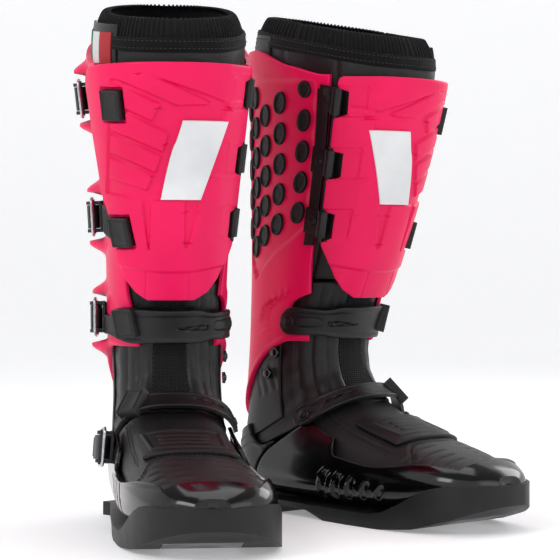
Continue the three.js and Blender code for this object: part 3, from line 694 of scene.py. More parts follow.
# Unit profiles: a radius of 0.5 and a height of 1.
OVAL_PROFILE = [(0, -0.6), (0.5, -0.6), (0.5, 0.55), (0.485, 0.9), (0.45, 1.0), (0.41, 0.9), (0.385, 0.5),
                (0.36, 0.42), (0.2, 0.5), (0, 0.52)]
RIVET_PROFILE = [(0, -0.5), (0.5, -0.5), (0.5, 0.35), (0.47, 0.5), (0.36, 0.5), (0.34, 0.36), (0.31, 0.36),
                 (0.29, 0.75), (0.18, 0.95), (0, 1.0)]


def surface_line(places, offset, closed=False):
    """A line on the boot through (angle, station) places."""
    u, v = np.array(places, float).T
    return {"points": skin(u, v, np.full(u.shape, offset)), "facing": last_normal(u, v), "closed": closed}


def stitch(boot, name, lines, body, pitch=None):
    sizes = bpy.context.scene.boot_sizes
    seam = grow(boot, name, "Stitches", lines_mesh(boot, lines), THREAD,
                Pitch=pitch or sizes.stitch_pitch, Length=sizes.stitch_length, Width=sizes.thread_width)
    if body:
        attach(seam, body)
    return seam


def body_of_leg(boot):
    return "leg_" + boot.side


# ---------------------------------------------------------------- frames on the boot
class Stand:
    """A frame on the boot: X round it, towards the strap, Y across the strap, Z out of the boot."""

    def __init__(self, u, v, tilt=0.0):
        out = last_normal(u, v)
        x = unit(last_point(u + 2, v) - last_point(u - 2, v))
        turn = Matrix.Rotation(math.radians(tilt), 3, Vector(out))
        x = np.array(turn @ Vector(x))
        x = unit(x - out * (x @ out))
        self.axes = np.stack([x, np.cross(out, x), out])
        self.origin = skin(u, v, np.array(SHELL[1]))

    def inside(self, points):
        return (points - self.origin) @ self.axes.T

    def outside(self, points):
        return np.asarray(points, float) @ self.axes + self.origin


def leg_stand(u, level):
    return Stand(u, float(station_at(u, level)))


def strap_level(u, level):
    """A calf strap comes down a little from its buckle to its adjuster."""
    return level - 10.0 * step(BUCKLE_ANGLE, ADJUSTER_ANGLE, u)


def calf_buckles():
    return {place: leg_stand(BUCKLE_ANGLE, level) for place, level in LEVELS.items()}


def calf_adjusters():
    return {place: leg_stand(ADJUSTER_ANGLE, strap_level(ADJUSTER_ANGLE, LEVELS[place]))
            for place in ("top", "mid")}


def instep_station(u):
    return mix(8.62, 9.3, step(-25, -70, front_angle(u)))


def instep_stand(u, tilt):
    return Stand(u, float(instep_station(u)), tilt)


def solid_from(boot, name, make, stand_on, material, bevel=0.5, angle=38.0):
    """A bevelled piece drawn by a bmesh function in a stand's frame."""
    bm = bmesh.new()
    make(bm)
    if bevel:
        sharp = [e for e in bm.edges if len(e.link_faces) == 2 and e.calc_face_angle() > math.radians(28)]
        bmesh.ops.bevel(bm, geom=sharp, offset=bevel, segments=2, profile=0.6, affect="EDGES",
                        clamp_overlap=True)
    points = np.array([v.co[:] for v in bm.verts])
    bm.verts.index_update()
    faces = [[v.index for v in f.verts] for f in bm.faces]
    bm.free()
    return build(boot, name, stand_on.outside(points), faces, material, angle)


def add_block(bm, x0, x1, y0, y1, z0, z1):
    middle = Vector(((x0 + x1) / 2, (y0 + y1) / 2, (z0 + z1) / 2))
    scale = Matrix.Diagonal((x1 - x0, y1 - y0, z1 - z0, 1))
    return bmesh.ops.create_cube(bm, size=1, matrix=Matrix.Translation(middle) @ scale)["verts"]


def top_face(verts):
    faces = {f for v in verts for f in v.link_faces}
    return max(faces, key=lambda f: f.calc_center_median().z)


def sunk(bm, face, margin, depth):
    """Sets a face in by a margin and lowers it, or raises it where the depth is negative."""
    bmesh.ops.inset_region(bm, faces=[face], thickness=margin)
    bmesh.ops.translate(bm, verts=list(face.verts), vec=(0, 0, -depth))


def refined(boot, node, material, bevel=0.45, name=None):
    """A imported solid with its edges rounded: the same shape and size, moulded instead of cut."""
    material_name, slot = material
    mesh = frame["nodes"][boot.name(node)].data.copy()
    bm = bmesh.new()
    bm.from_mesh(mesh)
    bmesh.ops.remove_doubles(bm, verts=bm.verts, dist=2e-6)
    flat = math.radians(2.0)
    bmesh.ops.dissolve_limit(bm, angle_limit=flat, verts=bm.verts, edges=bm.edges)
    bm.to_mesh(mesh)
    bm.free()
    piece = bpy.data.objects.new("rounding", mesh)
    bpy.context.scene.collection.objects.link(piece)
    rounding = piece.modifiers.new("rounding", "BEVEL")
    rounding.limit_method = "ANGLE"
    rounding.angle_limit = math.radians(30)
    rounding.width = bevel * 0.001
    rounding.segments = 3
    evaluated = piece.evaluated_get(bpy.context.evaluated_depsgraph_get())
    rounded = bpy.data.meshes.new_from_object(evaluated)
    bpy.data.objects.remove(piece)
    finish_mesh(rounded, 42.0)
    obj = new_object(boot.name(name or node + "_moulded"), rounded, bpy.data.materials[material_name])
    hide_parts(boot.name(node))
    return obj


# ---------------------------------------------------------------- calf shell
def open_edges(b):
    """The calf shell's front edges: angles on the inner and outer side at a share of its height."""
    inner = mix(63.0, 50.0, step(0.55, 0.95, b))
    notch = 21.0 * np.clip(1 - ((b - 0.83) / 0.075) ** 2, 0, 1)
    outer = mix(mix(297.0, 318.0, step(0.3, 0.6, b)), 332.0, step(0.7, 0.95, b))
    return inner + notch, outer


def rim_z(u):
    return 368.0 - 24.0 * step(55, 115, np.abs(u - 180))


def hem_z(u):
    return mix(68.0, 136.0, step(12, 112, np.abs(u - 180)) ** 0.9)


def grip_top(u):
    return mix(338.0, 346.0, (u - 75) / 63)


def grip_bottom(u):
    return mix(186.0, 226.0, np.abs(u - 118) / 43)


def grip_field(u, z):
    """1 inside the sunk field of the inner side, falling to 0 over its edge."""
    sides = step(72.6, 75, u) * step(140.4, 138, u)
    return sides * step(grip_top(u) + 2, grip_top(u), z) * step(grip_bottom(u) - 2, grip_bottom(u), z)


def horns(points, stands):
    """The fins over and under each buckle: they rise steeply beside it and run out round the leg."""
    rise = np.zeros(points.shape[:2])
    for stand_on in stands:
        x, y, z = np.moveaxis(stand_on.inside(points), -1, 0)
        across = np.abs(y)
        crest = step(16.3, 19.0, across) * step(31.0, 20.5, across)
        length = step(17.0, -7.0, x) * step(-24.0, -10.0, x)
        near = np.abs(z) < 25
        rise = np.maximum(rise, 12.5 * crest * length ** 0.8 * near)
    return rise


def sun_rays(u, z):
    """Ten tapering rays behind the inner end of the ankle strap."""
    back, up = (u - 72.0) * 0.78, z - 152.0
    radius, turn = np.hypot(back, up), np.degrees(np.arctan2(up, back))
    rays = np.zeros(np.shape(u))
    for ray in np.linspace(-24, 76, 10):
        off = np.abs(turn - ray) * np.radians(1) * radius
        rays = np.maximum(rays, step(2.0 - 0.09 * (radius - 18), 0.3, off))
    return rays * step(17, 19, radius) * step(31, 24, radius)


def calf_relief(stands):
    def rise(u, v, base):
        z = base[..., 2]
        field = -1.7 * grip_field(u, z)
        flare = 1.4 * step(16, 0, rim_z(u) - z)
        lip = 0.7 * step(0.4, 1.6, z - hem_z(u)) * step(5.2, 3.6, z - hem_z(u))
        back = np.abs(u - 180)
        spine = 1.0 * step(21, 18.5, back) * step(350, 330, z) - 0.8 * step(1.6, 0.6, np.abs(back - 10))
        spine *= step(80, 110, z) * step(345, 325, z)
        waist = -0.9 * step(3.0, 0.8, np.abs(z - 214 - 0.18 * (u - 230)))
        waist = waist * step(205, 230, u) * step(300, 280, u)
        return field + flare + lip + spine + waist + 0.9 * sun_rays(u, z) + horns(base, stands)
    return rise


def leg_where(edges, top, bottom):
    def where(a, b):
        first, last = edges(b)
        u = mix(first, last, a)
        return u, mix(station_at(u, top(u)), station_at(u, bottom(u)), b)
    return where


def make_calf_shell(boot):
    stands = list(calf_buckles().values())
    where = leg_where(open_edges, rim_z, hem_z)
    shell = moulding(boot, "calf_shell", spaced(150, 240), spaced(125, 230), where, SHELL, PINK,
                     calf_relief(stands), radius=1.1, angle=50)
    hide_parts(boot.name("leg_shell"))
    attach(shell, body_of_leg(boot))
    points, facing = [], []
    for u, z in ((86, 126), (92, 109)):
        v = float(station_at(u, z))
        points.append(skin(u, v, np.array(SHELL[1] - 0.3)))
        facing.append(last_normal(u, v))
    bolts = {"points": points, "facing": facing, "loose": True}
    mesh = lines_mesh(boot, [bolts], [np.array([0.0, 0.0, 1.0])] * 2)
    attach(rivets(boot, "shell_bolts", mesh, 9.0, 2.2, GLOSS), body_of_leg(boot))


def make_grip(boot):
    """Slanting rubber ovals standing in the sunk field, in staggered columns."""
    sizes = bpy.context.scene.boot_sizes
    points, facing, along, scale = [], [], [], []
    for column in range(5):
        u = 81.0 + 14.2 * column
        for row in range(9):
            z = 334.0 - 24.0 * row - (12.0 if column % 2 else 0.0) + 3.0 * column
            over = min(grip_top(u) - z, z - grip_bottom(u))
            if over < 2.5:
                continue
            v = float(station_at(u, z))
            out = last_normal(u, v)
            down = unit(last_point(u, v - 0.1) - last_point(u, v + 0.1))
            side = np.cross(out, down)
            lean = math.radians(17)
            points.append(skin(u, v, np.array(SHELL[1] - 1.6)))
            facing.append(out)
            along.append(down * math.cos(lean) + side * math.sin(lean))
            scale.append((min(1.0, 0.35 + over / 13.0), 1.0, 1.0))
    mesh = lines_mesh(boot, [{"points": points, "facing": facing, "loose": True}], along, scale)
    shape = lathe_shape("oval", OVAL_PROFILE, 28)
    ovals = grow(boot, "grip_ovals", "Studs", mesh, RUBBER, Shape=shape, Length=sizes.grip_length,
                 Width=sizes.grip_width, Height=sizes.grip_height)
    bpy.data.objects.remove(shape)
    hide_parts(boot.name("grip_pad"))
    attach(ovals, body_of_leg(boot))


# ---------------------------------------------------------------- shin plate and its hinge
PLATE_ROWS = np.array([
    (342, 55, -71), (300, 55, -67), (252, 55, -60), (228, 55, -47), (214, 54, -45), (202, 46, -43),
    (190, 38, -37), (181, 29, -28), (175, 17, -18),
], float)[::-1]
PLATE_TOP = 342.0
PLATE_BOTTOM = 175.0
HINGE_FOOT = 212.0
HINGE_TOP = 335.0


def hinge_line():
    """The hinge rod's foot, its direction, and the boot's outward direction there."""
    depth = np.array(PLATE[0] + 1.6)
    foot, top = (skin(HINGE_ANGLE, float(station_at(HINGE_ANGLE, z)), depth)
                 for z in (HINGE_FOOT, HINGE_TOP))
    return foot, unit(top - foot), last_normal(HINGE_ANGLE, 3.0)


def on_hinge(z):
    """The places of the hinge line at given heights."""
    foot, axis, _ = hinge_line()
    return foot + axis * ((np.asarray(z, float) - foot[2]) / axis[2])[..., None]


def near_clip(z, half):
    """1 within half of a clip's height, and 0 away from all three clips."""
    return np.max([step(half + 0.8, half - 0.8, np.abs(z - level)) for level in CLIP_LEVELS], axis=0)


def plate_where(a, b):
    """The plate's places: rounded upper corners, a notch round each hinge knuckle."""
    width = 128.0
    inner_drop = 9 - np.sqrt(81 - np.clip(9 - a * width, 0, 9) ** 2)
    outer_drop = 13 - np.sqrt(169 - np.clip(13 - (1 - a) * width, 0, 13) ** 2)
    z = mix(PLATE_TOP - inner_drop - outer_drop, PLATE_BOTTOM, b)
    inner = np.interp(z, PLATE_ROWS[:, 0], PLATE_ROWS[:, 1]) - 7.5 * near_clip(z, 11.0)
    outer = np.interp(z, PLATE_ROWS[:, 0], PLATE_ROWS[:, 2])
    u = mix(inner, outer, a)
    return u, station_at(u % 360, z)


def plate_onto_hinge(points, a, b, side):
    """Brings the inner margin of the plate onto the hinge line, between the knuckles."""
    z = points[..., 2]
    onto = np.where(z > HINGE_FOOT, np.clip(1 - a * 5, 0, 1), 0) * (1 - near_clip(z, 12.0))
    onto = onto * step(HINGE_FOOT, HINGE_FOOT + 8, z)
    _, _, out = hinge_line()
    edge = on_hinge(z) + out * ((side - 0.5) * (PLATE[1] - PLATE[0]))
    return points + (edge - points) * onto[..., None]


# The plate's ornament is drawn on its front elevation, X across and Z up.
BED = [(-24, 332.5), (38.5, 312.5), (20, 246), (-22.7, 242), (-48, 249), (-46, 329)]
LOWER_BED = [(20.3, 247), (11.6, 209), (-18, 207), (-22.9, 243)]
BANDS = [
    [(-46, 330.2), (-21, 332), (26, 312), (22.5, 310.2), (0.5, 309.6)],
    [(-46, 326.4), (-10.6, 310.4), (-16.4, 298.6), (-46, 312.2)],
    [(-46, 309.2), (-4.4, 290.3), (-8.4, 276.6), (-46, 293.2)],
    [(-46, 290.6), (-9.6, 274.0), (-13.4, 262.0), (-46, 277.4)],
    [(-46, 274.0), (-15.0, 260.2), (-19.5, 249.6), (-46, 258.6)],
]
CENTRE_PANEL = [(-16.6, 243), (8.4, 243), (9.0, 200), (-17.0, 200)]


def plate_relief(stands):
    def rise(u, v, base):
        x, z = base[..., 0], base[..., 2]
        bed = np.maximum(inside_polygon(x, z, BED, 1.2), inside_polygon(x, z, LOWER_BED, 1.2))
        raised = np.max([inside_polygon(x, z, band, 1.2) for band in BANDS + [CENTRE_PANEL]], axis=0)
        height = -2.1 * bed * (1 - raised)
        height -= 0.9 * capsule(x, z, (38, 314), (50, 316), 1.5, 1.4) * (x > 0)
        curve = 190.5 + 0.0035 * x ** 2
        height -= 1.1 * step(curve + 0.9, curve - 0.9, z)
        for edge in (-19.0, 12.0):
            height -= 0.5 * step(1.4, 0.2, np.abs(x - edge)) * step(curve, curve - 2, z)
        height -= 1.0 * near_clip(z, 11.5) * step(34.0, 36.0, u) * step(HINGE_FOOT - 4, HINGE_FOOT, z)
        for stand_on in stands:
            sx, sy, sz = np.moveaxis(stand_on.inside(base), -1, 0)
            pocket = step(11.6, 10.4, np.abs(sx)) * step(13.2, 12.0, np.abs(sy)) * (sz > -10)
            height = mix(height, -3.1, pocket)
        return height
    return rise


def make_shin_plate(boot):
    stands = list(calf_adjusters().values())
    plate = moulding(boot, "shin_plate_shell", spaced(160, 128), spaced(208, 167), plate_where, PLATE, PINK,
                     plate_relief(stands), radius=1.3, shape=plate_onto_hinge, angle=50)
    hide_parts(boot.name("shin_plate"))
    shin = "shin_" + boot.side
    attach(plate, shin)
    _, _, out = hinge_line()
    ends = [on_hinge(HINGE_FOOT + 2), on_hinge(HINGE_TOP - 2)]
    line = {"points": [mix(ends[0], ends[1], t) for t in np.linspace(0, 1, 12)], "facing": [out] * 12}
    rod = grow(boot, "hinge_rod", "Rods", lines_mesh(boot, [line]), NYLON, Radius=0.0018, Sides=12)
    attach(rod, shin)


def badge_where(a, b):
    u = mix(mix(32.0, 16.0, b), mix(3.0, -7.0, b), a)
    return u, station_at(u % 360, mix(303.0, 248.0, b))


def make_badge(boot):
    """A plain slanting inlay, let into the bed of the plate."""
    badge = moulding(boot, "shin_inlay", spaced(34, 26, 1.0), spaced(50, 58, 1.0), badge_where,
                     BADGE, INLAY, radius=0.7, angle=50)
    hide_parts(boot.name("shin_badge"))
    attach(badge, "shin_" + boot.side)


def make_hinge_band(boot):
    """The rubber band of the hinge, with its three clips riveted on."""
    band = refined(boot, "hinge_band", NYLON, 0.5)
    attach(band, body_of_leg(boot))
    points, facing = [], []
    _, axis, _ = hinge_line()
    for level in CLIP_LEVELS:
        v = float(station_at(HINGE_ANGLE + 8, level))
        out = last_normal(HINGE_ANGLE + 8, v)
        out = unit(out - axis * (out @ axis))
        back = np.cross(axis, out)
        drop = STRAP[0] - PLATE[0] - 1.2 + 2.6
        points.append(on_hinge(level) + out * drop + back * 10.0)
        facing.append(out)
    mesh = lines_mesh(boot, [{"points": points, "facing": facing, "loose": True}], [axis] * 3)
    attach(rivets(boot, "clip_rivets", mesh, 7.5, 1.5), body_of_leg(boot))


def rivets(boot, name, mesh, width, height, material=NYLON):
    shape = lathe_shape("rivet", RIVET_PROFILE, 24)
    size = 0.001
    made = grow(boot, name, "Studs", mesh, material, Shape=shape, Length=width * size, Width=width * size,
                Height=height * size)
    bpy.data.objects.remove(shape)
    return made


# ---------------------------------------------------------------- straps and buckles
def strap_where(angles, middle, half):
    def where(a, b):
        u = mix(angles[0], angles[1], a)
        return u, middle(u) + half(u) * (2 * b - 1)
    return where


def draw_adjuster(height):
    """The strap's square adjuster: a frame round a sunk, ribbed tongue."""
    def draw(bm):
        body = add_block(bm, -9, 9, -11, 11, 0.4, height)
        face = top_face(body)
        sunk(bm, face, 2.3, 1.2)
        sunk(bm, face, 1.6, -0.8)
        sunk(bm, face, 3.0, 0.5)
    return draw


def make_calf_straps(boot):
    for place in ("top", "mid"):
        level = LEVELS[place]

        def middle(u, level=level):
            return station_at(u, strap_level(u, level))

        def teeth(u, v, base):
            run = (u - 283) * 0.88
            comb = 0.8 * step(0.15, 0.75, np.abs((run / 3.6) % 1 - 0.5) * 2)
            comb = comb * step(283, 285, u) * step(316, 314, u)
            side = step(1.0, 0.75, np.abs(v - middle(u)) / (HALF_STRAP / 45))
            return comb * side - 0.7

        where = strap_where((TAIL_ANGLE, ADJUSTER_ANGLE + 7), middle, lambda u: HALF_STRAP / 45)
        strap = moulding(boot, place + "_strap_tail", spaced(90, 44, 0.8), spaced(22, 20, 0.8), where, STRAP,
                         NYLON, teeth, radius=0.7, angle=50)
        stand_on = leg_stand(ADJUSTER_ANGLE, strap_level(ADJUSTER_ANGLE, level))
        draw = draw_adjuster(PLATE[1] + 2.6 - SHELL[1])
        block = solid_from(boot, place + "_adjuster", draw, stand_on, NYLON)
        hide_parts(boot.name(place + "_strap"))
        for piece in (strap, block):
            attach(piece, "shin_" + boot.side)


def moulded_strap(boot, name, node, angles, middle, half, slot, groove, body):
    """A moulded strap with a round inner end, a raised margin, a long groove and a toothed slot."""
    tail, end = angles
    rounding = 11.0

    def rounded(u):
        past = np.clip(u - (end - rounding), 0, rounding) / (rounding + 0.25)
        return half(u) * np.sqrt(np.clip(1 - past ** 2, 0, 1))

    def rise(u, v, base):
        reach = np.abs(v - middle(u)) / np.maximum(half(u), 0.01)
        margin = 0.45 * step(0.66, 0.76, reach)
        share = (u - slot[1]) / (slot[0] - slot[1])
        opening = mix(0.05, 0.2, np.clip(share, 0, 1)) * step(-0.04, 0.02, share) * step(1.06, 1.0, share)
        cut = step(opening, opening - 0.05, reach) * (opening > 0.02)
        tooth = step(0.3, 0.7, np.abs((u * 0.85 / 2.1) % 1 - 0.5) * 2)
        line = (u - groove[1]) / (groove[0] - groove[1])
        width = 0.34 * np.sqrt(np.clip(1 - (2 * line - 1) ** 6, 0, 1))
        ring = step(0.07, 0.02, np.abs(reach - width)) * step(-0.01, 0.02, line) * step(1.01, 0.98, line)
        return margin - cut * (1.9 - 0.6 * tooth) - 0.7 * ring - 0.25

    where = strap_where((tail - 360, end), middle, rounded)
    strap = moulding(boot, name, spaced(170, 130, 1.0), spaced(34, 26, 1.0), where, (STRAP[0], STRAP_THICK),
                     NYLON, rise, radius=1.0, angle=55)
    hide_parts(boot.name(node))
    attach(strap, body)
    return strap


def strap_rivet(boot, name, stand_on, height, body):
    point = stand_on.outside([0, 0, height])
    mesh = lines_mesh(boot, [{"points": [point], "facing": [stand_on.axes[2]], "loose": True}],
                      [stand_on.axes[0]])
    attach(rivets(boot, name, mesh, 10.5, 2.2), body)


def make_ankle_strap(boot):
    end = 80.0
    body = "ankle_strap_body_" + boot.side

    def middle(u):
        return station_at(u % 360, LEVELS["ankle"] - 4)

    def half(u):
        u = front_angle(u)
        return mix(HALF_STRAP / 45, 0.44, step(-70, -30, u)) - 0.1 * step(20, 40, u)

    moulded_strap(boot, "ankle_strap_moulding", "ankle_strap", (TAIL_ANGLE, end), middle, half,
                  (33, 4), (66, 40), body)
    strap_rivet(boot, "ankle_strap_rivet", Stand(72.0, float(middle(np.array(72.0)))), 3.2, body)
    block = solid_from(boot, "ankle_adjuster", draw_adjuster(STRAP[1] + 5.4 - SHELL[1]),
                       leg_stand(ADJUSTER_ANGLE, LEVELS["ankle"]), NYLON)
    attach(block, body)


def make_instep_strap(boot):
    end, body = 71.0, "instep_strap_body_" + boot.side

    def half(u):
        return mix(0.3, 0.4, step(-50, -20, front_angle(u)))

    moulded_strap(boot, "instep_strap_moulding", "instep_strap", (307.0, end), instep_station, half,
                  (42, 12), (58, 46), body)
    strap_rivet(boot, "instep_strap_rivet", instep_stand(62.0, 0), 3.2, body)
    block = solid_from(boot, "instep_adjuster", draw_adjuster(STRAP[1] + 5.4 - SHELL[1]),
                       instep_stand(333.0, -14), NYLON)
    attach(block, body)


# A wire bail in its buckle's frame: where it starts (along the strap, out), how thick its wire is,
# its half width and how far it reaches.
BAIL_AT = (-6.0, 8.0)
BAIL_BAR = 2.4
BAIL_HALF = 13.8
BAIL_REACH = 27.0


def make_buckle(boot, place, stand_on, parent):
    base = refined(boot, place + "_buckle_base", NYLON, 0.5)
    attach(base, parent)
    lever = refined(boot, place + "_lever", NYLON, 0.7)
    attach(lever, place + "_lever_body_" + boot.side)
    x0, x1, bend = BAIL_AT[0], BAIL_AT[0] + BAIL_REACH, 4.0
    loop = []
    for cx, cy, start in ((x1 - bend, BAIL_HALF - bend, 0), (x0 + bend, BAIL_HALF - bend, 90),
                          (x0 + bend, bend - BAIL_HALF, 180), (x1 - bend, bend - BAIL_HALF, 270)):
        for turn in np.radians(start + np.linspace(0, 90, 7)):
            loop.append((cx + bend * math.cos(turn), cy + bend * math.sin(turn), BAIL_AT[1]))
    points = stand_on.outside(loop)
    line = {"points": points, "facing": [stand_on.axes[2]] * len(loop), "closed": True}
    wire = grow(boot, place + "_bail_wire", "Rods", lines_mesh(boot, [line]), WIRE, Radius=BAIL_BAR / 2000,
                Sides=12)
    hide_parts(boot.name(place + "_bail"))
    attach(wire, place + "_bail_body_" + boot.side)
    ribs = []
    for x in (-13, -16, -19, -22):
        z = float(np.interp(x, [-28, -18, -6], [8.2, 11.4, 12.6])) - 0.1
        ends = stand_on.outside([(x, y, z) for y in (-7, -3, 3, 7)])
        ribs.append({"points": ends, "facing": [stand_on.axes[2]] * 4})
    grip = grow(boot, place + "_lever_ribs", "Rods", lines_mesh(boot, ribs), NYLON, Radius=0.0007, Sides=8)
    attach(grip, place + "_lever_body_" + boot.side)


def make_buckles(boot):
    for place, stand_on in calf_buckles().items():
        make_buckle(boot, place, stand_on, body_of_leg(boot))
    make_buckle(boot, "instep", instep_stand(287.0, -24), "feet")


# ---------------------------------------------------------------- collar, cuff and gaiter
def band_station(u):
    """Where the stitched band runs round the cuff: low in front, high behind."""
    return mix(0.52, 0.78, step(150, 20, np.abs(front_angle(u))))


def cuff_offset(v, u):
    """The knit leans in from the band and rolls over at its top."""
    share = np.clip(v / band_station(u), 0, 1)
    return mix(-4.5, 2.2, share ** 0.55)


COLLAR_SEAMS = (-62, 60, 96, 150, -150)


def collar_seam(u):
    """How far a place of the collar lies from the nearest upright seam, in degrees."""
    return np.min([np.abs(front_angle(u) - seam) for seam in COLLAR_SEAMS], axis=0)


def make_collar(boot):
    sizes = bpy.context.scene.boot_sizes
    leg = body_of_leg(boot)

    def padded_where(a, b):
        u = 360.0 * a
        return u, mix(band_station(u) - 0.05, 4.5, b)

    def creases(u, v, base):
        pad = 0.5 * np.sin(np.radians(u) * 7 + 2 * np.sin(np.radians(u) * 3)) * step(1.6, 0.9, v)
        top = band_station(u) - 0.05
        swelling = filled(u / 360.0, (v - top) / (4.5 - top))
        return pad - 0.9 * step(2.4, 0.6, collar_seam(u)) - 0.5 + swelling

    def held(u, v):
        return (collar_seam(u) < 3.0) | (v > 1.9)

    filled = air_filled(padded_where, held, 1.0)
    around = np.linspace(0, 1, 201)[:-1]
    wall = moulding(boot, "collar_padding", around, spaced(70, 200), padded_where, UPPER, LEATHER, creases,
                    ring=True, angle=60)
    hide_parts(boot.name("collar"))
    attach(wall, leg)

    def cuff_where(a, b):
        u = 360.0 * a
        return u, mix(0.0, band_station(u) + 0.05, b)

    def lean(points, a, b, side):
        u = 360.0 * a
        v = mix(0.0, band_station(u) + 0.05, b)
        middle = np.array([0.0, -32.0, 0.0])
        inward = unit((middle - points) * np.array([1.0, 1.0, 0.0]))
        lean_in = (2.0 - cuff_offset(v, u))[..., None]
        roll = 1.2 * step(0.12, 0.0, b)
        moved = points + inward * lean_in
        moved[..., 2] -= roll
        return moved

    cuff = moulding(boot, "knit_cuff", around, spaced(24, 30), cuff_where, (-0.6, 2.0), KNIT, ring=True,
                    radius=1.2, shape=lean, angle=70)
    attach(cuff, leg)
    ribs = []
    count = int(round(330.0 / sizes.rib_pitch))
    for k in range(count):
        u = np.full(14, 360.0 * k / count)
        b = np.linspace(0.0, 1.0, 14)
        v = mix(0.0, band_station(u) + 0.02, b)
        outer = skin(u, v, np.full(14, 2.0))
        outer = lean(outer, u / 360, b, 1)
        inner = skin(u[:5], v[:5], np.full(5, -0.6))
        inner = lean(inner, u[:5] / 360, b[:5], 0)
        crest = (outer[0] + inner[0]) / 2 + np.array([0, 0, 0.4])
        line = np.concatenate([inner[::-1], [crest], outer])
        ribs.append({"points": line, "facing": [last_normal(360.0 * k / count, 0.3)] * len(line)})
    knit = grow(boot, "cuff_ribs", "Rods", lines_mesh(boot, ribs), KNIT, Radius=0.00085, Sides=6, angle=80)
    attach(knit, leg)

    def trim_where(a, b):
        u = 360.0 * a
        return u, band_station(u) + mix(-0.13, 0.14, b)

    trim = moulding(boot, "cuff_band", around, spaced(10, 11, 0.8), trim_where, (2.6, 4.1), KNIT, ring=True,
                    radius=0.8, angle=70)
    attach(trim, leg)
    rows = []
    for shift in (-0.07, 0.07):
        rows.append(surface_line([(u, float(band_station(u)) + shift) for u in range(0, 360, 4)], 4.2, True))
    stitch(boot, "band_stitches", rows, leg)
    make_collar_patch(boot, leg)


def patch_where(centre, half_width, top, bottom, lean=0.0):
    def where(a, b):
        u = centre + half_width * (2 * a - 1) + lean * b
        return u, mix(top, bottom, b)
    return where


def make_collar_patch(boot, leg):
    """The three-colour ribbon tab on the outer side, and the stitched patch on the inner side."""
    for k, (ribbon, slot) in enumerate((("Green ribbon", "black_knit"), ("White ribbon", "white_plastic"),
                                        ("Red ribbon", "pink_plastic"))):
        where = patch_where(271.0 + 17.0 * k, 8.0, 0.56, 1.25)
        name = ribbon.split()[0].lower() + "_ribbon"
        strip = moulding(boot, name, spaced(10, 12, 0.5), spaced(16, 20, 0.5), where, (4.1, 5.0),
                         (ribbon, slot), radius=0.4)
        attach(strip, leg)
    border = moulding(boot, "ribbon_border", spaced(40, 50, 0.8), spaced(20, 30, 0.8),
                      patch_where(288.0, 30.0, 0.36, 1.36), (2.6, 4.0), LEATHER, radius=0.8)
    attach(border, leg)
    patch = moulding(boot, "collar_patch", spaced(24, 30, 0.8), spaced(24, 30, 0.8),
                     patch_where(122.0, 14.0, 0.5, 1.4), (2.6, 4.4), LEATHER, radius=0.9)
    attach(patch, leg)
    frame_line = [(110, 1.35), (110, 0.58), (134, 0.58), (134, 1.35)]
    stitch(boot, "patch_stitches", [surface_line(dense(frame_line), 4.5)], leg)


def dense(places, pieces=12):
    """A broken line with more places along it."""
    out = []
    for (u0, v0), (u1, v1) in zip(places, places[1:]):
        out.extend((mix(u0, u1, t), mix(v0, v1, t)) for t in np.linspace(0, 1, pieces, endpoint=False))
    return out + [places[-1]]


GAITER_SEAMS = (16.0, 31.0, 47.0, 66.0)


def gaiter_end(u):
    return mix(8.35, 8.74, step(60, 120, np.abs(u - 180)))


def ankle_bend(boot):
    """Where the soft ankle starts to bend, and where it follows the leg entirely."""
    return tuple(tuple(boot.stand([0.0, 0.0, ANKLE_HEIGHT + rise])) for rise in (-30.0, 34.0))


def make_gaiter(boot):
    """The soft ankle: padded channels beside a mesh tongue, between the foot and the leg."""
    def where(a, b):
        u = 360.0 * a
        return u, mix(4.56, gaiter_end(u), b)

    def channels(u, v, base):
        front = np.abs(front_angle(u))
        bulge = 0.5 + 0.5 * step(5.2, 5.8, v) * step(8.6, 8.1, v)
        edges = np.array((0.0,) + GAITER_SEAMS)
        pad = np.zeros(np.shape(u))
        for low, high in zip(edges[1:], edges[2:]):
            t = np.clip((front - low) / (high - low), 0, 1)
            pad = np.maximum(pad, np.sqrt(np.clip(1 - (2 * t - 1) ** 2, 0, 1)))
        wrinkle = 0.35 * np.sin(v * 9 + 2.2 * np.sin(np.radians(u) * 3)) * step(16, 26, front)
        tongue = -1.5 * step(16.5, 15.0, front)
        sides = -0.6 * step(66, 70, front)
        quilted = (2.2 * pad * bulge - 0.9) * (front < 66) * (front > 16)
        swelling = filled(u / 360.0, (v - 4.56) / (gaiter_end(u) - 4.56))
        return quilted + wrinkle * (front < 90) * 0.6 + tongue + sides + swelling * step(16, 20, front)

    def held(u, v):
        front = np.abs(front_angle(u))
        return np.min([np.abs(front - seam) for seam in GAITER_SEAMS], axis=0) < 3.0

    filled = air_filled(where, held, 1.4)
    around = np.linspace(0, 1, 241)[:-1]
    gaiter = moulding(boot, "gaiter_padding", around, spaced(84, 110), where, UPPER, LEATHER, channels,
                      ring=True, angle=60)
    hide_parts(boot.name("ankle_gaiter"))

    def tongue_where(a, b):
        return mix(-15.5, 15.5, a), mix(4.7, 8.6, b)

    tongue = moulding(boot, "ankle_mesh", spaced(26, 30, 0.8), spaced(80, 110, 0.8), tongue_where,
                      (1.5, 2.6), MESH, radius=0.6, angle=60)
    seams = []
    for side in (-1, 1):
        for seam in GAITER_SEAMS:
            for shift in (-1.6, 1.6):
                places = [(side * (seam + shift), v) for v in np.linspace(4.75, 8.3, 30)]
                seams.append(surface_line(places, 2.7))
    stitches = stitch(boot, "gaiter_stitches", seams, None)
    start, end = ankle_bend(boot)
    for piece in (gaiter, tongue, stitches):
        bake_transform(piece)


# ---------------------------------------------------------------- foot
def foot_edge(v):
    """How far up the sides the gloss foot shell reaches, as an angle from the front."""
    return mix(mix(60.0, 76.0, step(9.9, 10.7, v)), 50.0, step(11.5, 14.0, v))


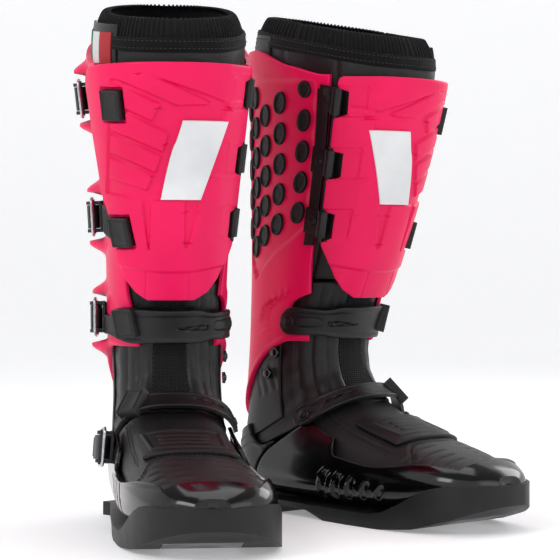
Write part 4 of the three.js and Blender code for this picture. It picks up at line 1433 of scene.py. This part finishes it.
def heel_split(u):
    """The slanting line where the heel cup meets the foot shell."""
    return mix(10.6, 8.75, np.clip(np.abs(u - 180) / 90, 0, 1))


def make_foot_shell(boot):
    """Gloss shell: a tray round the sole with slots on the inner side and grooves on the outer side, and the
    toe cap.
    """
    def tray_where(a, b):
        edge = foot_edge(mix(8.8, 14.4, b))
        u = mix(edge, 360 - edge, a)
        return u, mix(heel_split(u) + 0.09, 14.4, b)

    def slots(u, v, base):
        y, z = base[..., 1], base[..., 2]
        inner = (np.sin(np.radians(u)) > 0) * 1.0
        cut = np.zeros(np.shape(u))
        rim = np.zeros(np.shape(u))
        for k in range(5):
            y0, half = -66.0 - 17.0 * k, 3.7 - 0.2 * k
            low, high = (y0, 20.0 + 1.2 * k), (y0 - 4.0, 35.0 - 1.6 * k)
            cut = np.maximum(cut, capsule(y, z, low, high, half, 1.6))
            rim = np.maximum(rim, capsule(y, z, low, high, half + 2.0, 1.6))
        grooves = np.zeros(np.shape(u))
        for k in range(4):
            y0 = -76.0 - 17.0 * k
            grooves = np.maximum(grooves, capsule(y, z, (y0, 16.0), (y0 + 4.0, 42.0), 1.5, 1.6))
        ridge = 0.9 * step(2.2, 0.8, np.abs(z - 44 + 0.05 * (y + 100))) * step(-60, -70, y)
        slotted = (0.5 * rim - 2.0 * cut) * inner
        return slotted + (ridge - 1.6 * grooves) * (1 - inner)

    tray = moulding(boot, "foot_shell_tray", spaced(156, 200), spaced(230, 215), tray_where, SHELL, GLOSS,
                    slots, radius=1.2, angle=50)
    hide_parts(boot.name("foot_shell"))
    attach(tray, "feet")

    def toe_where(a, b):
        return 360.0 * a, mix(14.3, LAST_STATION - 0.02, np.minimum(b / 0.94, 1))

    def closed_tip(points, a, b, side):
        ring = points[np.argmin(np.abs(b[:, 0] - 0.94))]
        centre = ring.mean(0)
        share = np.clip((b - 0.94) / 0.06, 0, 1)[..., None]
        return mix(points, centre, share)

    rows = np.concatenate([np.linspace(0, 0.94, 44), [0.96, 0.98, 0.999]])
    toe = moulding(boot, "toe_cap", np.linspace(0, 1, 121)[:-1], rows, toe_where, SHELL, GLOSS, radius=0.01,
                   ring=True, shape=closed_tip, angle=60)
    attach(toe, "feet")


def make_heel_cup(boot):
    """Matt cup round the heel, with two raised arcs and a sunk spine."""
    def where(a, b):
        edge = mix(112.0, 88.0, b)
        u = mix(edge, 360 - edge, a)
        return u, mix(7.75, heel_split(u), b)

    def arcs(u, v, base):
        y, z = base[..., 1], base[..., 2]
        far = np.hypot(y - 26, z - 18)
        rise = np.zeros(np.shape(u))
        for radius in (34.0, 41.0):
            rise = np.maximum(rise, step(1.6, 0.5, np.abs(far - radius)))
        spine = step(9.5, 8.0, np.abs(u - 180))
        return 0.9 * rise - 0.8 * spine

    cup = moulding(boot, "heel_cup_shell", spaced(120, 150), spaced(70, 70), where, SHELL, NYLON, arcs,
                   radius=1.2)
    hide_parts(boot.name("heel_cup"))
    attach(cup, "feet")


def make_vamp(boot):
    """The soft forefoot, with flex grooves across it and a stitched toe seam."""
    def where(a, b):
        return mix(-98.0, 98.0, a), mix(8.8, 15.8, b)

    def folds(u, v, base):
        grooves = np.zeros(np.shape(u))
        for k in range(4):
            line = 12.15 + 0.42 * k + 0.004 * np.abs(u - 8)
            grooves = np.maximum(grooves, step(0.09, 0.02, np.abs(v - line)))
        grooves *= step(58, 44, np.abs(u - 6)) * step(4, 12, np.abs(u - 2))
        seam = step(0.06, 0.01, np.abs(v - 11.75 - 0.9 * step(20, 60, np.abs(u))))
        side = step(1.8, 0.5, np.abs(np.abs(u) - 47)) * step(11.9, 11.6, v)
        toe = 0.7 * step(11.8, 12.0, v - 0.9 * step(20, 60, np.abs(u)))
        return toe - 1.0 * grooves - 0.8 * seam - 0.8 * side - 0.7

    vamp = moulding(boot, "vamp_upper", spaced(140, 190), spaced(130, 150), where, (0.0, 2.9), LEATHER,
                    folds, radius=0.8, angle=60)
    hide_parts(boot.name("vamp"))
    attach(vamp, "feet")
    seams = []
    for side in (-1, 1):
        for shift in (-2.6, 2.6):
            seams.append(surface_line([(side * (47 + shift), v) for v in np.linspace(9.0, 11.5, 24)], 2.4))
    for shift in (-0.13, 0.13):
        places = [(u, 11.75 + shift + 0.9 * float(step(20, 60, abs(u)))) for u in range(-58, 59, 3)]
        seams.append(surface_line(places, 2.5))
    stitch(boot, "vamp_stitches", seams, "feet")


def make_instep_guard(boot):
    """A moulded rubber pad with a raised frame and three plain bars."""
    def where(a, b):
        return mix(-38.0, 38.0, a), mix(9.9, 11.6, b)

    def pad(u, v, base):
        frame_line = inside_polygon(u, v * 30, [(-30, 303), (30, 303), (26, 341), (-26, 341)], 2.5)
        inner = inside_polygon(u, v * 30, [(-26, 306.5), (26, 306.5), (22.5, 337.5), (-22.5, 337.5)], 2.5)
        bars = np.zeros(np.shape(u))
        for k in range(3):
            bars = np.maximum(bars, capsule(u, v * 30, (-13, 314 + 7.5 * k), (13, 314 + 7.5 * k), 2.0, 1.6))
        return -1.0 + 1.0 * frame_line - 1.3 * inner + 0.9 * bars

    guard = moulding(boot, "instep_pad", spaced(76, 80), spaced(56, 48), where, (3.0, 6.4), RUBBER, pad,
                     radius=1.4)
    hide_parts(boot.name("instep_guard"))
    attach(guard, "feet")


def make_sole(boot):
    sole = refined(boot, "outsole", RUBBER, 2.4)
    insert = refined(boot, "sole_insert", WEAR, 0.5)
    bed = refined(boot, "insole", KNIT, 0.6)
    for piece in (sole, insert, bed):
        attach(piece, "feet")


def make_ankle_panels(boot):
    """Two ankle guards sewn on the gaiter under the calf shell's hem, with three slanting slots in each."""
    for side, (first, last) in (("inner", (82.0, 132.0)), ("outer", (278.0, 228.0))):
        def where(a, b, first=first, last=last):
            return mix(first, last, a), mix(5.9, 8.1, b)

        def slots(u, v, base):
            y, z = base[..., 1], base[..., 2]
            cut = np.zeros(np.shape(u))
            for k in range(3):
                y0 = 4.0 + 8.5 * k
                cut = np.maximum(cut, capsule(y, z, (y0, 98 - 3 * k), (y0 + 7, 114 - 3 * k), 2.2, 1.3))
            return -0.6 * cut

        panel = moulding(boot, side + "_ankle_panel", spaced(50, 44), spaced(50, 70), where, (3.3, 4.3),
                         NYLON, slots, radius=0.8)
        start, end = ankle_bend(boot)
        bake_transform(panel)


# ---------------------------------------------------------------- stage
def aim(obj, target):
    obj.rotation_euler = (Vector(target) - obj.location).to_track_quat("-Z", "Y").to_euler()


def add_lamp(name, place, target, width, watts):
    data = bpy.data.lights.new(name, "AREA")
    data.shape = "RECTANGLE"
    data.size = width
    data.size_y = width * 0.8
    data.energy = watts
    lamp = bpy.data.objects.new(name, data)
    lamp.location = place
    bpy.context.scene.collection.objects.link(lamp)
    aim(lamp, target)


def make_floor():
    """Seamless paper: a flat round floor that curves up all round into a wall."""
    colour = bpy.context.scene.boot_colours.floor
    new_material("Seamless paper", Roughness=0.9, Base_Color=linear(colour), Emission_Color=linear(colour),
                 Emission_Strength=0.26)
    bm = bmesh.new()
    flat, curve, height, turns = 3.2, 1.2, 4.5, 64
    profile = [(flat * k / 4, 0.0) for k in range(1, 5)]
    bends = np.radians(range(10, 91, 10))
    profile += [(flat + curve * math.sin(t), curve - curve * math.cos(t)) for t in bends]
    profile.append((flat + curve, height))
    angles = [2 * math.pi * k / turns for k in range(turns)]
    rings = [[bm.verts.new((r * math.cos(t), r * math.sin(t), z)) for t in angles] for r, z in profile]
    bm.faces.new(rings[0])
    for low, high in zip(rings, rings[1:]):
        for k in range(turns):
            n = (k + 1) % turns
            bm.faces.new((low[k], low[n], high[n], high[k]))
    bmesh.ops.recalc_face_normals(bm, faces=bm.faces)
    mesh = bpy.data.meshes.new("studio_floor")
    bm.to_mesh(mesh)
    bm.free()
    mesh.polygons.foreach_set("use_smooth", [True] * len(mesh.polygons))
    mesh.materials.append(bpy.data.materials["Seamless paper"])
    floor = bpy.data.objects.new("studio_floor", mesh)
    bpy.context.scene.collection.objects.link(floor)


def light_studio():
    """Four soft lamps and a pale, even world, seen through the standard view transform."""
    middle = (0.0, 0.0, 0.2)
    add_lamp("key", (-1.3, -1.5, 1.5), middle, 1.0, 14.0)
    add_lamp("fill", (1.6, -1.2, 0.9), middle, 1.2, 3.5)
    add_lamp("top", (0.0, 0.3, 2.0), middle, 1.4, 8.5)
    add_lamp("edge", (1.2, 1.0, 0.9), middle, 0.9, 6.0)
    world = bpy.data.worlds.new("studio")
    world.use_nodes = True
    world.node_tree.nodes["Background"].inputs["Color"].default_value = linear("#F6F7F8")
    world.node_tree.nodes["Background"].inputs["Strength"].default_value = 0.3
    bpy.context.scene.world = world
    bpy.context.scene.view_settings.view_transform = "Standard"


def place_camera():
    """A long lens, low in front of the pair."""
    camera_data = bpy.data.cameras.new("camera")
    camera_data.lens = 130.0
    camera_data.sensor_width = 36.0
    camera_data.shift_y = -0.031
    camera_data.clip_end = 20.0
    camera = bpy.data.objects.new("camera", camera_data)
    camera.location = (-0.0143, -1.5207, 0.198)
    camera.rotation_euler = (math.pi / 2, 0, 0)
    bpy.context.scene.collection.objects.link(camera)
    bpy.context.scene.camera = camera


def make_stage():
    make_floor()
    light_studio()
    place_camera()


# ---------------------------------------------------------------- settings
def length(name, text, millimetres):
    return bpy.props.FloatProperty(name=name, description=text, default=millimetres * 0.001, min=0.0001,
                                   subtype="DISTANCE", unit="LENGTH", precision=4)


def colour(name, text, value):
    return bpy.props.StringProperty(name=name, description=text, default=value)


class BootSizes(bpy.types.PropertyGroup):
    stitch_pitch: length("Stitch pitch", "From one stitch to the next along a seam", 3.4)
    stitch_length: length("Stitch length", "Length of thread showing in one stitch", 2.4)
    thread_width: length("Thread width", "Width of the sewing thread", 0.75)
    grip_length: length("Grip oval length", "Length of one oval of the inner grip", 18.6)
    grip_width: length("Grip oval width", "Width of one oval of the inner grip", 13.0)
    grip_height: length("Grip oval height", "How far an oval stands out of its field", 2.2)
    rib_pitch: bpy.props.FloatProperty(name="Cuff rib pitch", default=3.0, min=1.0,
                                       description="From rib to rib round the knit cuff, in millimetres")


class BootColours(bpy.types.PropertyGroup):
    shell: colour("Shell", "The moulded calf shell and shin plate", "#F2125C")
    shell_shade: colour("Shell shade", "The shell where its colour is deepest", "#E20B51")
    inlay: colour("Inlay", "The slanting inlay of the shin plate", "#ECEDEE")
    plastic: colour("Straps and buckles", "Nylon straps, levers and the heel cup", "#101011")
    gloss: colour("Foot shell", "The gloss shell round the foot", "#060607")
    rubber: colour("Rubber", "Sole, grip and instep pad", "#101011")
    leather: colour("Leather", "Gaiter, vamp and collar", "#111112")
    floor: colour("Floor", "The studio's paper floor and background", "#F9F9FA")


# ---------------------------------------------------------------- operators
def for_both(makers):
    def execute(self, context):
        for boot in BOOTS:
            for make in makers:
                make(boot)
        return {"FINISHED"}
    return execute


class BOOTS_OT_stage(bpy.types.Operator):
    """Add the studio floor, the lights and the camera"""
    bl_idname = "boots.stage"
    bl_label = "Stage"

    def execute(self, context):
        make_stage()
        return {"FINISHED"}


class BOOTS_OT_finishes(bpy.types.Operator):
    """Make the materials and the geometry node trees that the pieces use"""
    bl_idname = "boots.finishes"
    bl_label = "Materials and patterns"

    def execute(self, context):
        make_materials(context.scene.boot_colours)
        for make in (stitch_tree, stud_tree, rod_tree):
            make()
        return {"FINISHED"}


class BOOTS_OT_calf_shells(bpy.types.Operator):
    """Add the moulded calf shells, with their buckle fins and hem"""
    bl_idname = "boots.calf_shells"
    bl_label = "Calf shells"
    execute = for_both((make_calf_shell,))


class BOOTS_OT_grips(bpy.types.Operator):
    """Add the rubber ovals of the inner grip"""
    bl_idname = "boots.grips"
    bl_label = "Grip ovals"
    execute = for_both((make_grip,))


class BOOTS_OT_shin_plates(bpy.types.Operator):
    """Add the shin plates, their inlays, hinge rods and hinge bands"""
    bl_idname = "boots.shin_plates"
    bl_label = "Shin plates"
    execute = for_both((make_shin_plate, make_badge, make_hinge_band))


class BOOTS_OT_straps(bpy.types.Operator):
    """Add the calf straps, the moulded ankle and instep straps and their adjusters"""
    bl_idname = "boots.straps"
    bl_label = "Straps"
    execute = for_both((make_calf_straps, make_ankle_strap, make_instep_strap))


class BOOTS_OT_buckles(bpy.types.Operator):
    """Add the buckle bases, levers and wire bails"""
    bl_idname = "boots.buckles"
    bl_label = "Buckles"
    execute = for_both((make_buckles,))


class BOOTS_OT_collars(bpy.types.Operator):
    """Add the padded collars, knit cuffs, ribbon tabs and patches"""
    bl_idname = "boots.collars"
    bl_label = "Collars and cuffs"
    execute = for_both((make_collar,))


class BOOTS_OT_gaiters(bpy.types.Operator):
    """Add the padded ankle gaiters between the foot and the leg"""
    bl_idname = "boots.gaiters"
    bl_label = "Ankle gaiters"
    execute = for_both((make_gaiter, make_ankle_panels))


class BOOTS_OT_feet(bpy.types.Operator):
    """Add the foot shells, heel cups, vamps, instep pads and soles"""
    bl_idname = "boots.feet"
    bl_label = "Feet"
    execute = for_both((make_foot_shell, make_heel_cup, make_vamp, make_instep_guard, make_sole))


OPERATORS = (BOOTS_OT_stage, BOOTS_OT_finishes, BOOTS_OT_calf_shells, BOOTS_OT_grips, BOOTS_OT_shin_plates,
             BOOTS_OT_straps, BOOTS_OT_buckles, BOOTS_OT_collars, BOOTS_OT_gaiters, BOOTS_OT_feet)


class BOOTS_PT_panel(bpy.types.Panel):
    """The boots' sizes, colours and pieces"""
    bl_idname = "BOOTS_PT_panel"
    bl_label = "Riding boots"
    bl_space_type = "VIEW_3D"
    bl_region_type = "UI"
    bl_category = "Boots"

    def draw(self, context):
        for group in (context.scene.boot_sizes, context.scene.boot_colours):
            box = self.layout.box()
            for key in type(group).__annotations__:
                box.prop(group, key)
        for operator in OPERATORS:
            self.layout.operator(operator.bl_idname)


CLASSES = (BootSizes, BootColours, *OPERATORS, BOOTS_PT_panel)


def register():
    for cls in CLASSES:
        bpy.utils.register_class(cls)
    bpy.types.Scene.boot_sizes = bpy.props.PointerProperty(type=BootSizes)
    bpy.types.Scene.boot_colours = bpy.props.PointerProperty(type=BootColours)


def unregister():
    del bpy.types.Scene.boot_colours
    del bpy.types.Scene.boot_sizes
    for cls in reversed(CLASSES):
        bpy.utils.unregister_class(cls)


def main():
    register()
    for operator in OPERATORS:
        group, name = operator.bl_idname.split(".")
        getattr(getattr(bpy.ops, group), name)()


if __name__ == "__main__":
    main()
